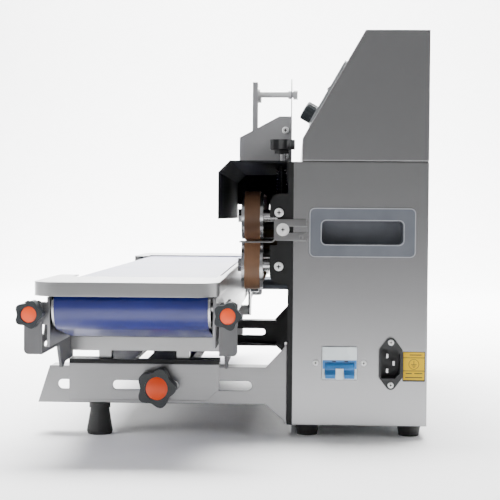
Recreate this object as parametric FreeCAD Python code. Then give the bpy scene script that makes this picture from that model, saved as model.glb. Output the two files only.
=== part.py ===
import FreeCAD, Part
import math
import os

# Table-top continuous band sealer: housing, sealing head, and an adjustable belt conveyor.
#
# Every size is in millimetres. The drawing frame has x along the machine, y = 0 on the
# housing's open front edge with the conveyor at negative y, and z = 0 on the table.
# Each piece is written to its own STEP file, shifted so the origin is at the middle of the base.

V = FreeCAD.Vector

# ---- housing ----
BOX_LENGTH = 570.0
BOX_DEPTH = 126.0
FOOT_HEIGHT = 12.0
BOX_TOP = 259.0
SHEET = 1.5
FRONT_PLATE = 5.0
BASE_PLATE = 2.0
FOOT_INSET_X = 23.0
FOOT_INSET_Y = 14.5
FOOT_TOP_R = 11.75
FOOT_LOW_R = 9.5

# ---- control head ----
HEAD_SEAM = 1.0
HEAD_SETBACK = 8.0
HEAD_WALL_RISE = 21.0
HEAD_HEIGHT = 123.0
HEAD_TOP_DEPTH = 60.0
PANEL_LENGTH = 430.0
PANEL_WIDTH = 70.0
PANEL_THICK = 4.2
PANEL_LOW = 22.0

# ---- fits ----
FIT = 0.05
GAP = 0.3
EASY = 0.8

# ---- sealing head ----
SEAL_LINE = 184.0
SEAL_Y = -40.0
WHEEL_R = 23.0
WHEEL_WIDTH = 21.0
BAND_WIDTH = 15.0
BAND_THICK = 0.7
NEAR_WHEEL_X = 222.0
WHEEL_SPACING = 300.0
AXLE_R = 6.0
AXLE_IN = 62.0
GEAR_TEETH = 24
GEAR_WIDTH = 8.0
GEAR_FRONT = 16.0
PRESS_X = 172.0
PRESS_R = 13.0
BLOCK_DEPTH = 16.0
BLOCK_HEIGHT = 17.0
HEATER_X = (62.0, 152.0)
COOLER_X = (-44.0, 44.0)
COOLER_FINS = 7
BEARING_R = 11.0
BRACKET_THICK = 5.0
BRACKET_WIDTH = 17.0
BRACKET_REACH = 45.0

# ---- guard and reel holder ----
GUARD_REACH = 71.0
GUARD_TOP = 260.0
GUARD_DROP = 55.0
GUARD_SHEET = 1.5
GUARD_CHAMFER = 11.0
GUARD_LENGTH = 392.0
GUARD_END_DROP = 38.0
REEL_X = 154.0
REEL_SHEET = 2.0
REEL_TOP = 350.0
REEL_SHAFT_R = 3.6
REEL_SHAFT_Z = 335.5

# ---- conveyor ----
BELT_WIDTH = 130.0
BELT_RIGHT = -71.0
BELT_THICK = 1.5
BELT_TOP = 149.8
END_ROLLER_X = 395.0
END_ROLLER_R = 18.5
TENSION_X = 330.0
TENSION_R = 13.0
DRIVE_X = -250.0
DRIVE_R = 25.2
RETURN_Z = 91.5
TENSION_LOW = 99.5
BED_SHEET = 2.5
BED_MARGIN = 4.0
BED_TOP = 146.5
GUARD_END_X = 420.0
GUARD_END_WIDTH = 158.0
GUARD_END_OFFSET = -5.0
GUARD_END_RIM = 12.0
GUARD_END_SHEET = 1.2
GUARD_END_R = 22.0
GUARD_END_COVER = 100.0
GUARD_END_SIDES = 140.0
SHAFT_R = 8.8

# ---- carriage and arms ----
ARM_LENGTH = 241.0
ARM_LOW = 30.0
ARM_TOP = 65.0
ARM_SHEET = 2.5
ARM_FLANGE = 24.0
ARM_FACE_X = 280.0
ARM_SLOT = 9.0
ARM_SLOT_Y = (-222.0, -38.0)
CHANNEL_Y = (-211.0, -69.0)
CHANNEL_SHEET = 2.5
CHANNEL_SLOT_Y = (-169.5, -107.0)
BEAM_Y = (-186.0, -96.0)
BEAM_SHEET = 4.0
BEAM_END = 24.0
TIE_SIZE = 13.5
TIE_LOW = 79.0
TIE_SPACERS = ((-184.0, -172.0), (-110.0, -98.0))
SIDE_SHEET = 2.5
SIDE_FLANGE = 15.5
SIDE_FACE_X = 412.0
SIDE_CLEAR = (3.6, 2.9)
LEG_X = 274.0
LEG_Y = -183.0
LEG_R = 12.3
LIFT_UP = 10.0
LIFT_DOWN = 3.0

# ---- control panel fittings ----
CONTROLLER_X = (-80.0, -20.0)
CONTROLLER_UP = 12.0
CONTROLLER_HIGH = 46.0
KEY_SIZE = (9.0, 5.0)
KEY_TRAVEL = 0.8
KEY_X = (-42.0, -29.0)
SWITCH_X = (50.0, 96.0)
SWITCH_SIZE = (19.0, 13.0)
SWITCH_UP = 52.0
SWITCH_TILT = 10.0

# ---- knobs ----
SMALL_KNOB_R = 12.0
SMALL_KNOB_LONG = 20.0
SMALL_BOLT_R = 3.0
LIFT_KNOB_Z = 125.0
ARM_KNOB_R = 18.7
ARM_KNOB_LONG = 24.0
ARM_KNOB_Y = -126.0
ARM_BOLT_R = 3.7
SPEED_KNOB_R = 10.0
SPEED_KNOB_LONG = 12.0
SPEED_KNOB_X = 150.0
SPEED_KNOB_UP = 34.0

GUIDE_SCREW = (-9.8, 195.4)
GUIDE_TRAVEL = 16.0
PRESS_KNOB_R = 13.5
PRESS_KNOB_LONG = 14.0
PRESS_KNOB_Y = -12.5
PRESS_KNOB_Z = 272.0

# ---- end panel fittings, as (y, z) centres ----
HANDLE_AT = (64.6, 193.0)
HANDLE_FRAME = (99.0, 46.0)
HANDLE_OPENING = (76.0, 22.0)
HANDLE_DEPTH = 22.0
BREAKER_AT = (44.3, 70.7)
BREAKER_FACE = (32.2, 30.2)
BREAKER_SCREWS = 45.0
INLET_AT = (92.0, 70.7)
INLET_FLANGE = (22.0, 48.7)
INLET_SOCKET = (17.8, 27.6)
INLET_SCREWS = 40.0
INLET_CHAMFER = 5.0
INLET_DEEP = 16.0

# ---- values that follow ----
END_X = BOX_LENGTH / 2
HEAD_LOW = BOX_TOP + HEAD_SEAM
HEAD_TOP = BOX_TOP + HEAD_HEIGHT
UPPER_AXIS_Z = SEAL_LINE + GAP + BAND_THICK + GAP + WHEEL_R
LOWER_AXIS_Z = 2 * SEAL_LINE - UPPER_AXIS_Z
FAR_WHEEL_X = NEAR_WHEEL_X - WHEEL_SPACING
BELT_LEFT = BELT_RIGHT - BELT_WIDTH
BELT_MID = (BELT_LEFT + BELT_RIGHT) / 2
BED_LEFT = BELT_LEFT - BED_MARGIN
BED_RIGHT = BELT_RIGHT + BED_MARGIN
END_ROLLER_Z = BELT_TOP - BELT_THICK - END_ROLLER_R
TENSION_Z = TENSION_LOW + TENSION_R
DRIVE_Z = RETURN_Z + DRIVE_R
GUARD_END_LEFT = BELT_MID + GUARD_END_OFFSET - GUARD_END_WIDTH / 2
GUARD_END_RIGHT = GUARD_END_LEFT + GUARD_END_WIDTH
GUARD_END_TOP = BELT_TOP + 0.5 + GUARD_END_SHEET
SIDE_LEFT = BED_LEFT - BED_SHEET - SIDE_CLEAR[0]
SIDE_RIGHT = BED_RIGHT + BED_SHEET + SIDE_CLEAR[1]
SLOT_Z = (ARM_LOW + ARM_TOP) / 2
CHANNEL_TOP = ARM_TOP + GAP + CHANNEL_SHEET
BEAM_TOP = CHANNEL_TOP + BEAM_SHEET
CHANNEL_FACE_X = ARM_FACE_X + GAP + CHANNEL_SHEET
SHIFT = V(0, (ARM_LENGTH - BOX_DEPTH) / 2, 0)
SLANT_RUN = BOX_DEPTH - HEAD_TOP_DEPTH - HEAD_SETBACK
SLANT_RISE = HEAD_TOP - HEAD_LOW - HEAD_WALL_RISE
SLANT = math.degrees(math.atan2(SLANT_RISE, SLANT_RUN))
AXES = {"x": V(1, 0, 0), "y": V(0, 1, 0), "z": V(0, 0, 1)}


# ---- drawing helpers ----
def place(axis, level, point):
    """A flat point on the plane where the axis has this level."""
    first, second = point
    if axis == "x":
        return V(level, first, second)
    if axis == "y":
        return V(first, level, second)
    return V(first, second, level)


def box(x, y, z):
    """A block between the given (low, high) pairs."""
    return Part.makeBox(x[1] - x[0], y[1] - y[0], z[1] - z[0], V(x[0], y[0], z[0]))


def prism(axis, points, span):
    """A flat outline drawn out along an axis."""
    corners = [place(axis, span[0], point) for point in points]
    wire = Part.makePolygon(corners + corners[:1])
    return Part.Face(wire).extrude(AXES[axis] * (span[1] - span[0]))


def rod(axis, centre, radius, span):
    """A round bar along an axis."""
    return Part.makeCylinder(radius, span[1] - span[0], place(axis, span[0], centre), AXES[axis])


def around(axis, level, circles, grow=0.0):
    """A closed wire drawn tight round circles that are listed counter-clockwise."""
    count = len(circles)
    angles = []
    for index in range(count):
        a0, a1, a_radius = circles[index]
        b0, b1, b_radius = circles[(index + 1) % count]
        distance = math.hypot(b0 - a0, b1 - a1)
        lean = math.acos((a_radius - b_radius) / distance)
        angles.append(math.atan2(b1 - a1, b0 - a0) - lean)

    def point(circle, angle):
        reach = circle[2] + grow
        spot = (circle[0] + reach * math.cos(angle), circle[1] + reach * math.sin(angle))
        return place(axis, level, spot)

    edges = []
    for index in range(count):
        arrive = angles[index - 1]
        sweep = (angles[index] - arrive) % (2 * math.pi)
        leave = arrive + sweep
        here = circles[index]
        after = circles[(index + 1) % count]
        bend = Part.Arc(point(here, arrive), point(here, arrive + sweep / 2), point(here, leave))
        edges.append(bend.toShape())
        edges.append(Part.LineSegment(point(here, leave), point(after, leave)).toShape())
    return Part.Wire(edges)


def hull(axis, circles, span, grow=0.0):
    """A solid with the outline drawn round the circles."""
    face = Part.Face(around(axis, span[0], circles, grow))
    return face.extrude(AXES[axis] * (span[1] - span[0]))


def loop(axis, circles, thick, span):
    """A band of even thickness that runs round the circles."""
    return hull(axis, circles, span, thick).cut(hull(axis, circles, span))


def rounded(axis, first, second, radius, span):
    """A block with its four edges along the axis rounded."""
    low, high = first[0] + radius, first[1] - radius
    below, above = second[0] + radius, second[1] - radius
    corners = [(low, below, radius), (high, below, radius), (high, above, radius), (low, above, radius)]
    return hull(axis, corners, span)


def slot(axis, start, end, width, span):
    """A slot with round ends between two centres."""
    return hull(axis, [start + (width / 2,), end + (width / 2,)], span)


def join(shapes):
    """One solid from shapes that meet."""
    return shapes[0].multiFuse(shapes[1:]).removeSplitter()


def group(shapes):
    """Separate solids kept in one node."""
    return Part.makeCompound(shapes)


def mirror_x(shape):
    """The same shape at the other end of the machine."""
    return shape.mirror(V(0, 0, 0), V(1, 0, 0))


def pan_head(centre, x, radius, tall, shank_r, shank):
    """A pan-head screw that faces +x, with a cross recess."""
    head = rod("x", centre, radius, (x, x + tall))
    head = head.makeFillet(tall * 0.45, [head.Edges[0]])
    arm = radius * 0.55
    for wide, high in ((arm, radius * 0.13), (radius * 0.13, arm)):
        cross = box((x + tall * 0.5, x + tall + 1), (centre[0] - wide, centre[0] + wide),
                    (centre[1] - high, centre[1] + high))
        head = head.cut(cross)
    if shank:
        head = head.fuse(rod("x", centre, shank_r, (x - shank, x)))
    return head


def star_knob(centre, x, radius, long, bolt_r, bolt):
    """A five-lobed hand knob that faces +x, on its bolt."""
    points = []
    for step in range(30):
        angle = 2 * math.pi * step / 30
        reach = radius * (0.895 + 0.105 * math.cos(5 * angle))
        spot = (centre[0] + reach * math.cos(angle), centre[1] + reach * math.sin(angle))
        points.append(place("x", x + long * 0.3, spot))
    curve = Part.BSplineCurve()
    curve.interpolate(Points=points, PeriodicFlag=True)
    body = Part.Face(Part.Wire([curve.toShape()])).extrude(V(long * 0.7, 0, 0))
    neck = rod("x", centre, radius * 0.55, (x, x + long * 0.3))
    cap_seat = rod("x", centre, radius * 0.58, (x + long - 1.2, x + long + 1))
    shank = rod("x", centre, bolt_r, (x - bolt, x))
    return join([body.cut(cap_seat), neck, shank])


def gear(centre, teeth, module, span, turn):
    """A spur gear along y with involute teeth, thinned a little for backlash."""
    pressure = math.radians(20)
    pitch_r = teeth * module / 2
    base_r = pitch_r * math.cos(pressure)
    tip_r = pitch_r + module * 0.95
    root_r = pitch_r - module * 1.2
    half = math.pi / (2 * teeth) - 0.12 / pitch_r + math.tan(pressure) - pressure
    flank = []
    for step in range(5):
        radius = base_r + (tip_r - base_r) * step / 4
        roll = math.sqrt(max(0.0, (radius / base_r) ** 2 - 1))
        flank.append((radius, half - (roll - math.atan(roll))))
    side = [(root_r, flank[0][1] + 0.01)] + flank
    profile = [(radius, -angle) for radius, angle in side] + side[::-1]
    points = []
    for tooth in range(teeth):
        middle = turn + 2 * math.pi * tooth / teeth
        for radius, angle in profile:
            spot = (centre[0] + radius * math.cos(middle + angle),
                    centre[1] + radius * math.sin(middle + angle))
            points.append(spot)
    return prism("y", points, span)


def on_slant(shape):
    """Move a shape drawn on a flat panel (x, up, out) onto the head's slope."""
    placed = shape.copy()
    placed.rotate(V(0, 0, 0), V(1, 0, 0), SLANT)
    placed.translate(V(0, HEAD_SETBACK, HEAD_LOW + HEAD_WALL_RISE))
    return placed


# ---- housing ----
def handle_opening(grow, span):
    """The block cut out for the carrying handle."""
    y, z = HANDLE_AT
    wide, high = HANDLE_FRAME[0] / 2 - 4 + grow, HANDLE_FRAME[1] / 2 - 4 + grow
    return rounded("x", (y - wide, y + wide), (z - high, z + high), 6.0, span)


def housing_shell():
    outer = box((-END_X, END_X), (0, BOX_DEPTH), (FOOT_HEIGHT, BOX_TOP))
    inner = box((SHEET - END_X, END_X - SHEET), (-1, BOX_DEPTH - SHEET), (0, BOX_TOP - SHEET))
    near, far = (END_X - 3, END_X + 1), (-END_X - 1, 3 - END_X)
    cuts = [inner, handle_opening(0, near), handle_opening(0, far)]
    wide, high = BREAKER_FACE[0] / 2 + 0.2, BREAKER_FACE[1] / 2 + 0.2
    y, z = BREAKER_AT
    cuts.append(box(near, (y - wide, y + wide), (z - high, z + high)))
    for side in (-1, 1):
        cuts.append(rod("x", (y + side * BREAKER_SCREWS / 2, z), 1.5, near))
    y, z = INLET_AT
    cuts.append(rounded("x", (y - 9.9, y + 9.9), (z - 14.8, z + 14.8), 2.0, near))
    for side in (-1, 1):
        cuts.append(rod("x", (y, z + side * INLET_SCREWS / 2), 1.5, near))
    for row in range(7):
        level = 60 + row * 10
        cuts.append(slot("x", (34, level), (92, level), 4, far))
    for bank in (-170, -60, 60, 170):
        for row in range(6):
            level = 70 + row * 14
            cuts.append(slot("y", (bank - 28, level), (bank + 28, level), 4,
                             (BOX_DEPTH - 3, BOX_DEPTH + 1)))
    cuts.append(box((-200, 200), (35, 105), (BOX_TOP - 3, BOX_TOP + 1)))
    return outer.cut(cuts)


def base_plate():
    plate = box((SHEET - END_X, END_X - SHEET), (0, BOX_DEPTH - SHEET),
                (FOOT_HEIGHT, FOOT_HEIGHT + BASE_PLATE))
    cuts = []
    for index in range(9):
        x = -160 + index * 40
        cuts.append(slot("z", (x, 40), (x, 85), 5, (0, FOOT_HEIGHT + 5)))
    return plate.cut(cuts)


def front_plate():
    plate = box((-END_X, END_X), (-FRONT_PLATE, 0), (FOOT_HEIGHT, BOX_TOP))
    through = (-FRONT_PLATE - 1, 1)
    cuts = []
    for x in (NEAR_WHEEL_X, FAR_WHEEL_X):
        for z in (UPPER_AXIS_Z, LOWER_AXIS_Z):
            cuts.append(rod("y", (x, z), BEARING_R, through))
    for z in press_heights():
        cuts.append(rod("y", (PRESS_X, z), AXLE_R - 2 + FIT, through))
    width = 2 * (SHAFT_R + EASY)
    cuts.append(slot("y", (DRIVE_X, DRIVE_Z - LIFT_DOWN - 1), (DRIVE_X, DRIVE_Z + LIFT_UP + 1),
                     width, through))
    return plate.cut(cuts)


def feet():
    shapes = []
    for x in (FOOT_INSET_X - END_X, END_X - FOOT_INSET_X):
        for y in (FOOT_INSET_Y, BOX_DEPTH - FOOT_INSET_Y):
            shapes.append(Part.makeCone(FOOT_LOW_R, FOOT_TOP_R, FOOT_HEIGHT, V(x, y, 0)))
    for side in (-1, 1):
        x = side * LEG_X
        base = Part.makeCone(LEG_R - 1, LEG_R, 3, V(x, LEG_Y, 0))
        cone = Part.makeCone(LEG_R, LEG_R * 0.72, 22, V(x, LEG_Y, 3))
        top = Part.makeCylinder(LEG_R * 0.82, ARM_LOW - 25, V(x, LEG_Y, 25))
        shapes.append(join([base, cone, top]))
    return group(shapes)


def head_outline(inset):
    """Side outline of the head, moved in by a wall."""
    drop = inset * math.tan(math.radians(SLANT) / 2)
    reach = inset * math.tan(math.radians(90 - SLANT) / 2)
    slope_top = HEAD_SETBACK + SLANT_RUN
    return [(HEAD_SETBACK + inset, HEAD_LOW - inset),
            (HEAD_SETBACK + inset, HEAD_LOW + HEAD_WALL_RISE - reach),
            (slope_top + drop, HEAD_TOP - inset), (BOX_DEPTH - inset, HEAD_TOP - inset),
            (BOX_DEPTH - inset, HEAD_LOW - inset)]


def control_head():
    outer = prism("x", head_outline(0), (-END_X, END_X))
    lip = box((1.2 - END_X, END_X - 1.2), (HEAD_SETBACK + 1.2, BOX_DEPTH - 1.2), (BOX_TOP, HEAD_LOW))
    inner = prism("x", head_outline(SHEET), (SHEET - END_X, END_X - SHEET))
    inside = (HEAD_SETBACK + 2.7, BOX_DEPTH - 2.7)
    well = box((2.7 - END_X, END_X - 2.7), inside, (BOX_TOP - 1, HEAD_LOW + 1))
    cuts = [inner, well]
    back = (-SHEET - 1, 1)
    cuts.append(on_slant(box((-92 + GAP, 118), (PANEL_LOW + 8, PANEL_LOW + PANEL_WIDTH - 8), back)))
    cuts.append(on_slant(rod("z", (SPEED_KNOB_X, SPEED_KNOB_UP), 4.5, back)))
    return outer.fuse(lip).cut(cuts).removeSplitter()


# ---- control panel ----

def key_spot(x):
    """The (x, up) centre of a controller key."""
    return (x, PANEL_LOW + CONTROLLER_UP + 9)


def control_panel():
    panel = rounded("z", (-PANEL_LENGTH / 2, PANEL_LENGTH / 2), (PANEL_LOW, PANEL_LOW + PANEL_WIDTH),
                    5.0, (0, PANEL_THICK))
    through = (-1, PANEL_THICK + 1)
    low = PANEL_LOW + CONTROLLER_UP
    cuts = [box(CONTROLLER_X, (low, low + CONTROLLER_HIGH), through)]
    cuts.append(rod("z", (SPEED_KNOB_X, SPEED_KNOB_UP), 3.6, through))
    for x in SWITCH_X:
        wide, high = SWITCH_SIZE[0] / 2 + 1.5, SWITCH_SIZE[1] / 2 + 1.5
        y = PANEL_LOW + SWITCH_UP
        cuts.append(box((x - wide, x + wide), (y - high, y + high), through))
    return on_slant(panel.cut(cuts))


def temperature_controller():
    low = PANEL_LOW + CONTROLLER_UP
    body = box((CONTROLLER_X[0] + 0.1, CONTROLLER_X[1] - 0.1), (low + 0.1, low + CONTROLLER_HIGH - 0.1),
               (-38, PANEL_THICK))
    bezel = rounded("z", (CONTROLLER_X[0] - 2, CONTROLLER_X[1] + 2), (low - 2, low + CONTROLLER_HIGH + 2),
                    3.0, (PANEL_THICK, PANEL_THICK + 2.5))
    face = PANEL_THICK + 2.5
    cuts = [box((CONTROLLER_X[0] + 5, CONTROLLER_X[1] - 5), (low + 17, low + 40), (face - 0.8, face + 1))]
    for x in KEY_X:
        spot = key_spot(x)
        cuts.append(box((spot[0] - KEY_SIZE[0] / 2 - GAP, spot[0] + KEY_SIZE[0] / 2 + GAP),
                        (spot[1] - KEY_SIZE[1] / 2 - GAP, spot[1] + KEY_SIZE[1] / 2 + GAP),
                        (face - 3.5, face + 1)))
    return on_slant(body.fuse(bezel).cut(cuts).removeSplitter())


def controller_key(x):
    spot = key_spot(x)
    face = PANEL_THICK + 2.5
    return on_slant(rounded("z", (spot[0] - KEY_SIZE[0] / 2, spot[0] + KEY_SIZE[0] / 2),
                            (spot[1] - KEY_SIZE[1] / 2, spot[1] + KEY_SIZE[1] / 2), 1.0,
                            (face - 3.5 + KEY_TRAVEL + GAP, face + 1.1)))


def switch_bodies():
    shapes = []
    y = PANEL_LOW + SWITCH_UP
    wide, high = SWITCH_SIZE[0] / 2, SWITCH_SIZE[1] / 2
    for x in SWITCH_X:
        body = box((x - wide - 1.4, x + wide + 1.4), (y - high - 1.4, y + high + 1.4), (-20, PANEL_THICK))
        rim = rounded("z", (x - wide - 2.6, x + wide + 2.6), (y - high - 2.6, y + high + 2.6), 1.5,
                      (PANEL_THICK, PANEL_THICK + 1.6))
        well = box((x - wide - GAP, x + wide + GAP), (y - high - GAP, y + high + GAP),
                   (-6, PANEL_THICK + 3))
        shapes.append(on_slant(body.fuse(rim).cut(well).removeSplitter()))
    return group(shapes)


def rocker(x):
    """A rocker resting on its off side, tipped about its pivot."""
    y = PANEL_LOW + SWITCH_UP
    wide, half = SWITCH_SIZE[0] / 2, SWITCH_SIZE[1] / 2 - 0.9
    crown = PANEL_THICK + 2.6
    points = [(y - half, 0.0), (y + half, 0.0), (y + half, crown + 0.9),
              (y, crown), (y - half, crown + 0.9)]
    body = prism("x", points, (x - wide, x + wide))
    body.rotate(V(x, y, 1.0), V(1, 0, 0), -SWITCH_TILT)
    return on_slant(body)


def speed_knob():
    spot = (SPEED_KNOB_X, SPEED_KNOB_UP)
    low = PANEL_THICK + 0.6
    body = rod("z", spot, SPEED_KNOB_R, (low, low + SPEED_KNOB_LONG))
    body = body.makeChamfer(1.0, [body.Edges[0]])
    grooves = []
    for step in range(18):
        angle = 2 * math.pi * step / 18
        at = (spot[0] + SPEED_KNOB_R * math.cos(angle), spot[1] + SPEED_KNOB_R * math.sin(angle))
        grooves.append(rod("z", at, 0.7, (low + 2, low + SPEED_KNOB_LONG - 2.4)))
    stem = rod("z", spot, 3.0, (-12, low))
    return on_slant(body.cut(grooves).fuse(stem))


# ---- end panel fittings ----
def handle_cups():
    y, z = HANDLE_AT
    wide, high = HANDLE_FRAME[0] / 2, HANDLE_FRAME[1] / 2
    frame = rounded("x", (y - wide, y + wide), (z - high, z + high), 5.0, (END_X, END_X + 2))
    cup = handle_opening(-0.3, (END_X - HANDLE_DEPTH, END_X + 1))
    wide, high = HANDLE_OPENING[0] / 2, HANDLE_OPENING[1] / 2
    hollow = rounded("x", (y - wide, y + wide), (z - high, z + high), 5.0,
                     (END_X - HANDLE_DEPTH + 2, END_X + 3))
    near = frame.fuse(cup).cut(hollow).removeSplitter()
    return group([near, mirror_x(near)])


def breaker_body():
    y, z = BREAKER_AT
    wide, high = BREAKER_FACE[0] / 2, BREAKER_FACE[1] / 2
    nose = box((END_X - 12, END_X + 2.5), (y - wide, y + wide), (z - high, z + high))
    body = box((END_X - 62, END_X - 12), (y - 18, y + 18), (z - 42, z + 42))
    well = box((END_X - 11, END_X + 4), (y - 14.1, y + 14.1), (z - 13, z + 2))
    post = box((END_X + 2.8, END_X + 5), (y - 3.7, y + 3.7), (z - high, z - 5.0))
    root = box((END_X - 1, END_X + 2.8), (y - 3.7, y + 3.7), (z - high, z - 13))
    return join([nose.fuse(body).cut(well), post, root])


def breaker_toggle():
    y, z = BREAKER_AT
    pivot = (END_X - 3.5, z - 5.5)
    drum = rod("y", pivot, 6.0, (y - 13.8, y + 13.8))
    levers = []
    for start, end in ((y - 13.5, y - 4.3), (y + 4.3, y + 13.5)):
        lever = box((pivot[0] + 3, pivot[0] + 13), (start, end), (pivot[1] - 2.2, pivot[1] + 2.2))
        levers.append(lever)
    toggle = join([drum] + levers)
    toggle.rotate(V(pivot[0], y, pivot[1]), V(0, 1, 0), 30)
    return toggle


def power_inlet():
    y, z = INLET_AT
    wide, tall = INLET_FLANGE[0] / 2 - 3, INLET_FLANGE[1] / 2 - 5
    outline = [(y - wide, z - 12, 3.0), (y, z - tall, 5.0), (y + wide, z - 12, 3.0),
               (y + wide, z + 12, 3.0), (y, z + tall, 5.0), (y - wide, z + 12, 3.0)]
    flange = hull("x", outline, (END_X, END_X + 2.5))
    wide, tall = INLET_SOCKET[0] / 2, INLET_SOCKET[1] / 2
    body = rounded("x", (y - wide - 0.8, y + wide + 0.8), (z - tall - 0.8, z + tall + 0.8), 2.0,
                   (END_X - 24, END_X + 1))
    corner = INLET_CHAMFER
    shape = [(y - wide, z - tall), (y + wide - corner, z - tall), (y + wide, z - tall + corner),
             (y + wide, z + tall - corner), (y + wide - corner, z + tall), (y - wide, z + tall)]
    socket = prism("x", shape, (END_X - INLET_DEEP, END_X + 4))
    cuts = [socket]
    for side in (-1, 1):
        cuts.append(rod("x", (y, z + side * INLET_SCREWS / 2), 1.6, (END_X - 1, END_X + 4)))
    return flange.fuse(body).cut(cuts).removeSplitter()


def inlet_pins():
    y, z = INLET_AT
    pins = []
    for side, level in ((-3.0, -7.0), (3.0, 0.0), (-3.0, 7.0)):
        across, tall = (y + side - 1, y + side + 1), (z + level - 2, z + level + 2)
        pins.append(box((END_X - INLET_DEEP, END_X - 2), across, tall))
    return group(pins)


def screws():
    """Screws that hold the breaker, the inlet, the end brackets, the guide and the reel plate."""
    shapes = []
    for side in (-1, 1):
        y, z = BREAKER_AT
        shapes.append(pan_head((y + side * BREAKER_SCREWS / 2, z), END_X, 2.8, 2.0, 1.45, 6))
        y, z = INLET_AT
        shapes.append(pan_head((y, z + side * INLET_SCREWS / 2), END_X + 2.5, 2.8, 1.8, 1.45, 8))
    for z in (UPPER_AXIS_Z + 3, LOWER_AXIS_Z + 1):
        shapes.append(pan_head((-13.5, z), END_X - 0.2, 4.3, 2.6, 0, 0))
    washer = rod("x", GUIDE_SCREW, 6.0, (END_X + 2.6, END_X + 3.6))
    head = pan_head(GUIDE_SCREW, END_X + 3.6, 3.8, 2.4, 2.4, 3.4)
    shapes.append(head.fuse(washer))
    for z in (GUARD_TOP + 10, GUARD_TOP + 37):
        shapes.append(pan_head((-9.0, z), REEL_X, 3.6, 2.2, 0, 0))
    return group(shapes)


# ---- sealing head ----
def press_heights():
    """Axis heights of the upper and lower press wheels."""
    upper = SEAL_LINE + 2 * GAP + BAND_THICK + PRESS_R
    return (upper, 2 * SEAL_LINE - upper)


def seal_band(axis_z):
    radius = WHEEL_R + GAP
    circles = [(FAR_WHEEL_X, axis_z, radius), (NEAR_WHEEL_X, axis_z, radius)]
    # Listed this way round, the two circles give a counter-clockwise loop.
    return loop("y", circles, BAND_THICK, (SEAL_Y - BAND_WIDTH / 2, SEAL_Y + BAND_WIDTH / 2))


def seal_wheel(x, z, inner, geared):
    """A grooved steel wheel on its axle, with its gear where the pair is driven."""
    front, back = SEAL_Y - WHEEL_WIDTH / 2, SEAL_Y + WHEEL_WIDTH / 2
    wheel = rod("y", (x, z), WHEEL_R, (front, back))
    hub = rod("y", (x, z), 10, (front - 1, front + 4))
    dish = rod("y", (x, z), WHEEL_R - 4, (front - 1, front + 3)).cut(hub)
    cuts = [dish, rod("y", (x, z), AXLE_R, (front - 1, back + 1))]
    for step in range(6):
        angle = math.pi * step / 3
        spot = (x + 14.5 * math.cos(angle), z + 14.5 * math.sin(angle))
        cuts.append(rod("y", spot, 3.0, (front - 1, back + 1)))
    axle = rod("y", (x, z), AXLE_R, (front - GAP - 2, inner))
    corners = []
    for step in range(6):
        angle = math.pi * step / 3
        corners.append((x + 7.5 * math.cos(angle), z + 7.5 * math.sin(angle)))
    nut = prism("y", corners, (front - GAP - 3.5, front - GAP))
    solids = [wheel.cut(cuts), axle.fuse(nut).removeSplitter()]
    if geared:
        module = (UPPER_AXIS_Z - LOWER_AXIS_Z) / GEAR_TEETH
        facing = -math.pi / 2 if z > SEAL_LINE else math.pi / 2 + math.pi / GEAR_TEETH
        wheel_gear = gear((x, z), GEAR_TEETH, module, (GEAR_FRONT, GEAR_FRONT + GEAR_WIDTH), facing)
        bore = rod("y", (x, z), AXLE_R, (GEAR_FRONT - 1, GEAR_FRONT + GEAR_WIDTH + 1))
        solids.append(wheel_gear.cut(bore))
    return group(solids)


def press_wheel(z):
    spot = (PRESS_X, z)
    tyre = rod("y", spot, PRESS_R, (SEAL_Y - BAND_WIDTH / 2, SEAL_Y + BAND_WIDTH / 2))
    grooves = [rod("y", spot, PRESS_R + 1, (SEAL_Y + side - 0.5, SEAL_Y + side + 0.5)).cut(
        rod("y", spot, PRESS_R - 0.8, (SEAL_Y + side - 1, SEAL_Y + side + 1))) for side in (-4, 0, 4)]
    axle = rod("y", spot, AXLE_R - 2, (SEAL_Y - 11, 12))
    return tyre.cut(grooves).fuse(axle)


def wheel_bearings():
    shapes = []
    for x in (NEAR_WHEEL_X, FAR_WHEEL_X):
        for z in (UPPER_AXIS_Z, LOWER_AXIS_Z):
            sleeve = rod("y", (x, z), BEARING_R, (-FRONT_PLATE - 10, 0))
            flange = rod("y", (x, z), BEARING_R + 6, (-FRONT_PLATE - 4, -FRONT_PLATE))
            bore = rod("y", (x, z), AXLE_R + FIT, (-FRONT_PLATE - 11, 1))
            shapes.append(sleeve.fuse(flange).cut(bore).removeSplitter())
    return group(shapes)


def block_levels(upper):
    """Heights of a block that runs against the inside of a band."""
    face = SEAL_LINE + 2 * GAP + BAND_THICK
    if upper:
        return (face, face + BLOCK_HEIGHT)
    return (2 * SEAL_LINE - face - BLOCK_HEIGHT, 2 * SEAL_LINE - face)


def heater_blocks():
    shapes = []
    for upper in (True, False):
        levels = block_levels(upper)
        block = box(HEATER_X, (SEAL_Y - BLOCK_DEPTH / 2, -FRONT_PLATE), levels)
        middle = sum(levels) / 2
        bore = rod("x", (SEAL_Y, middle), 3.5, (HEATER_X[0] + 6, HEATER_X[1] + 1))
        shapes.append(block.cut(bore))
    return group(shapes)


def cooling_blocks():
    shapes = []
    pitch = (COOLER_X[1] - COOLER_X[0]) / (2 * COOLER_FINS - 1)
    for upper in (True, False):
        low, high = block_levels(upper)
        block = box(COOLER_X, (SEAL_Y - BLOCK_DEPTH / 2, -FRONT_PLATE), (low, high))
        cuts = []
        for step in range(COOLER_FINS - 1):
            start = COOLER_X[0] + pitch * (2 * step + 1)
            span = (low + 6, high + 1) if upper else (low - 1, high - 6)
            cuts.append(box((start, start + pitch), (SEAL_Y - BLOCK_DEPTH / 2 - 1, -FRONT_PLATE - 4), span))
        shapes.append(block.cut(cuts))
    return group(shapes)


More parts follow.
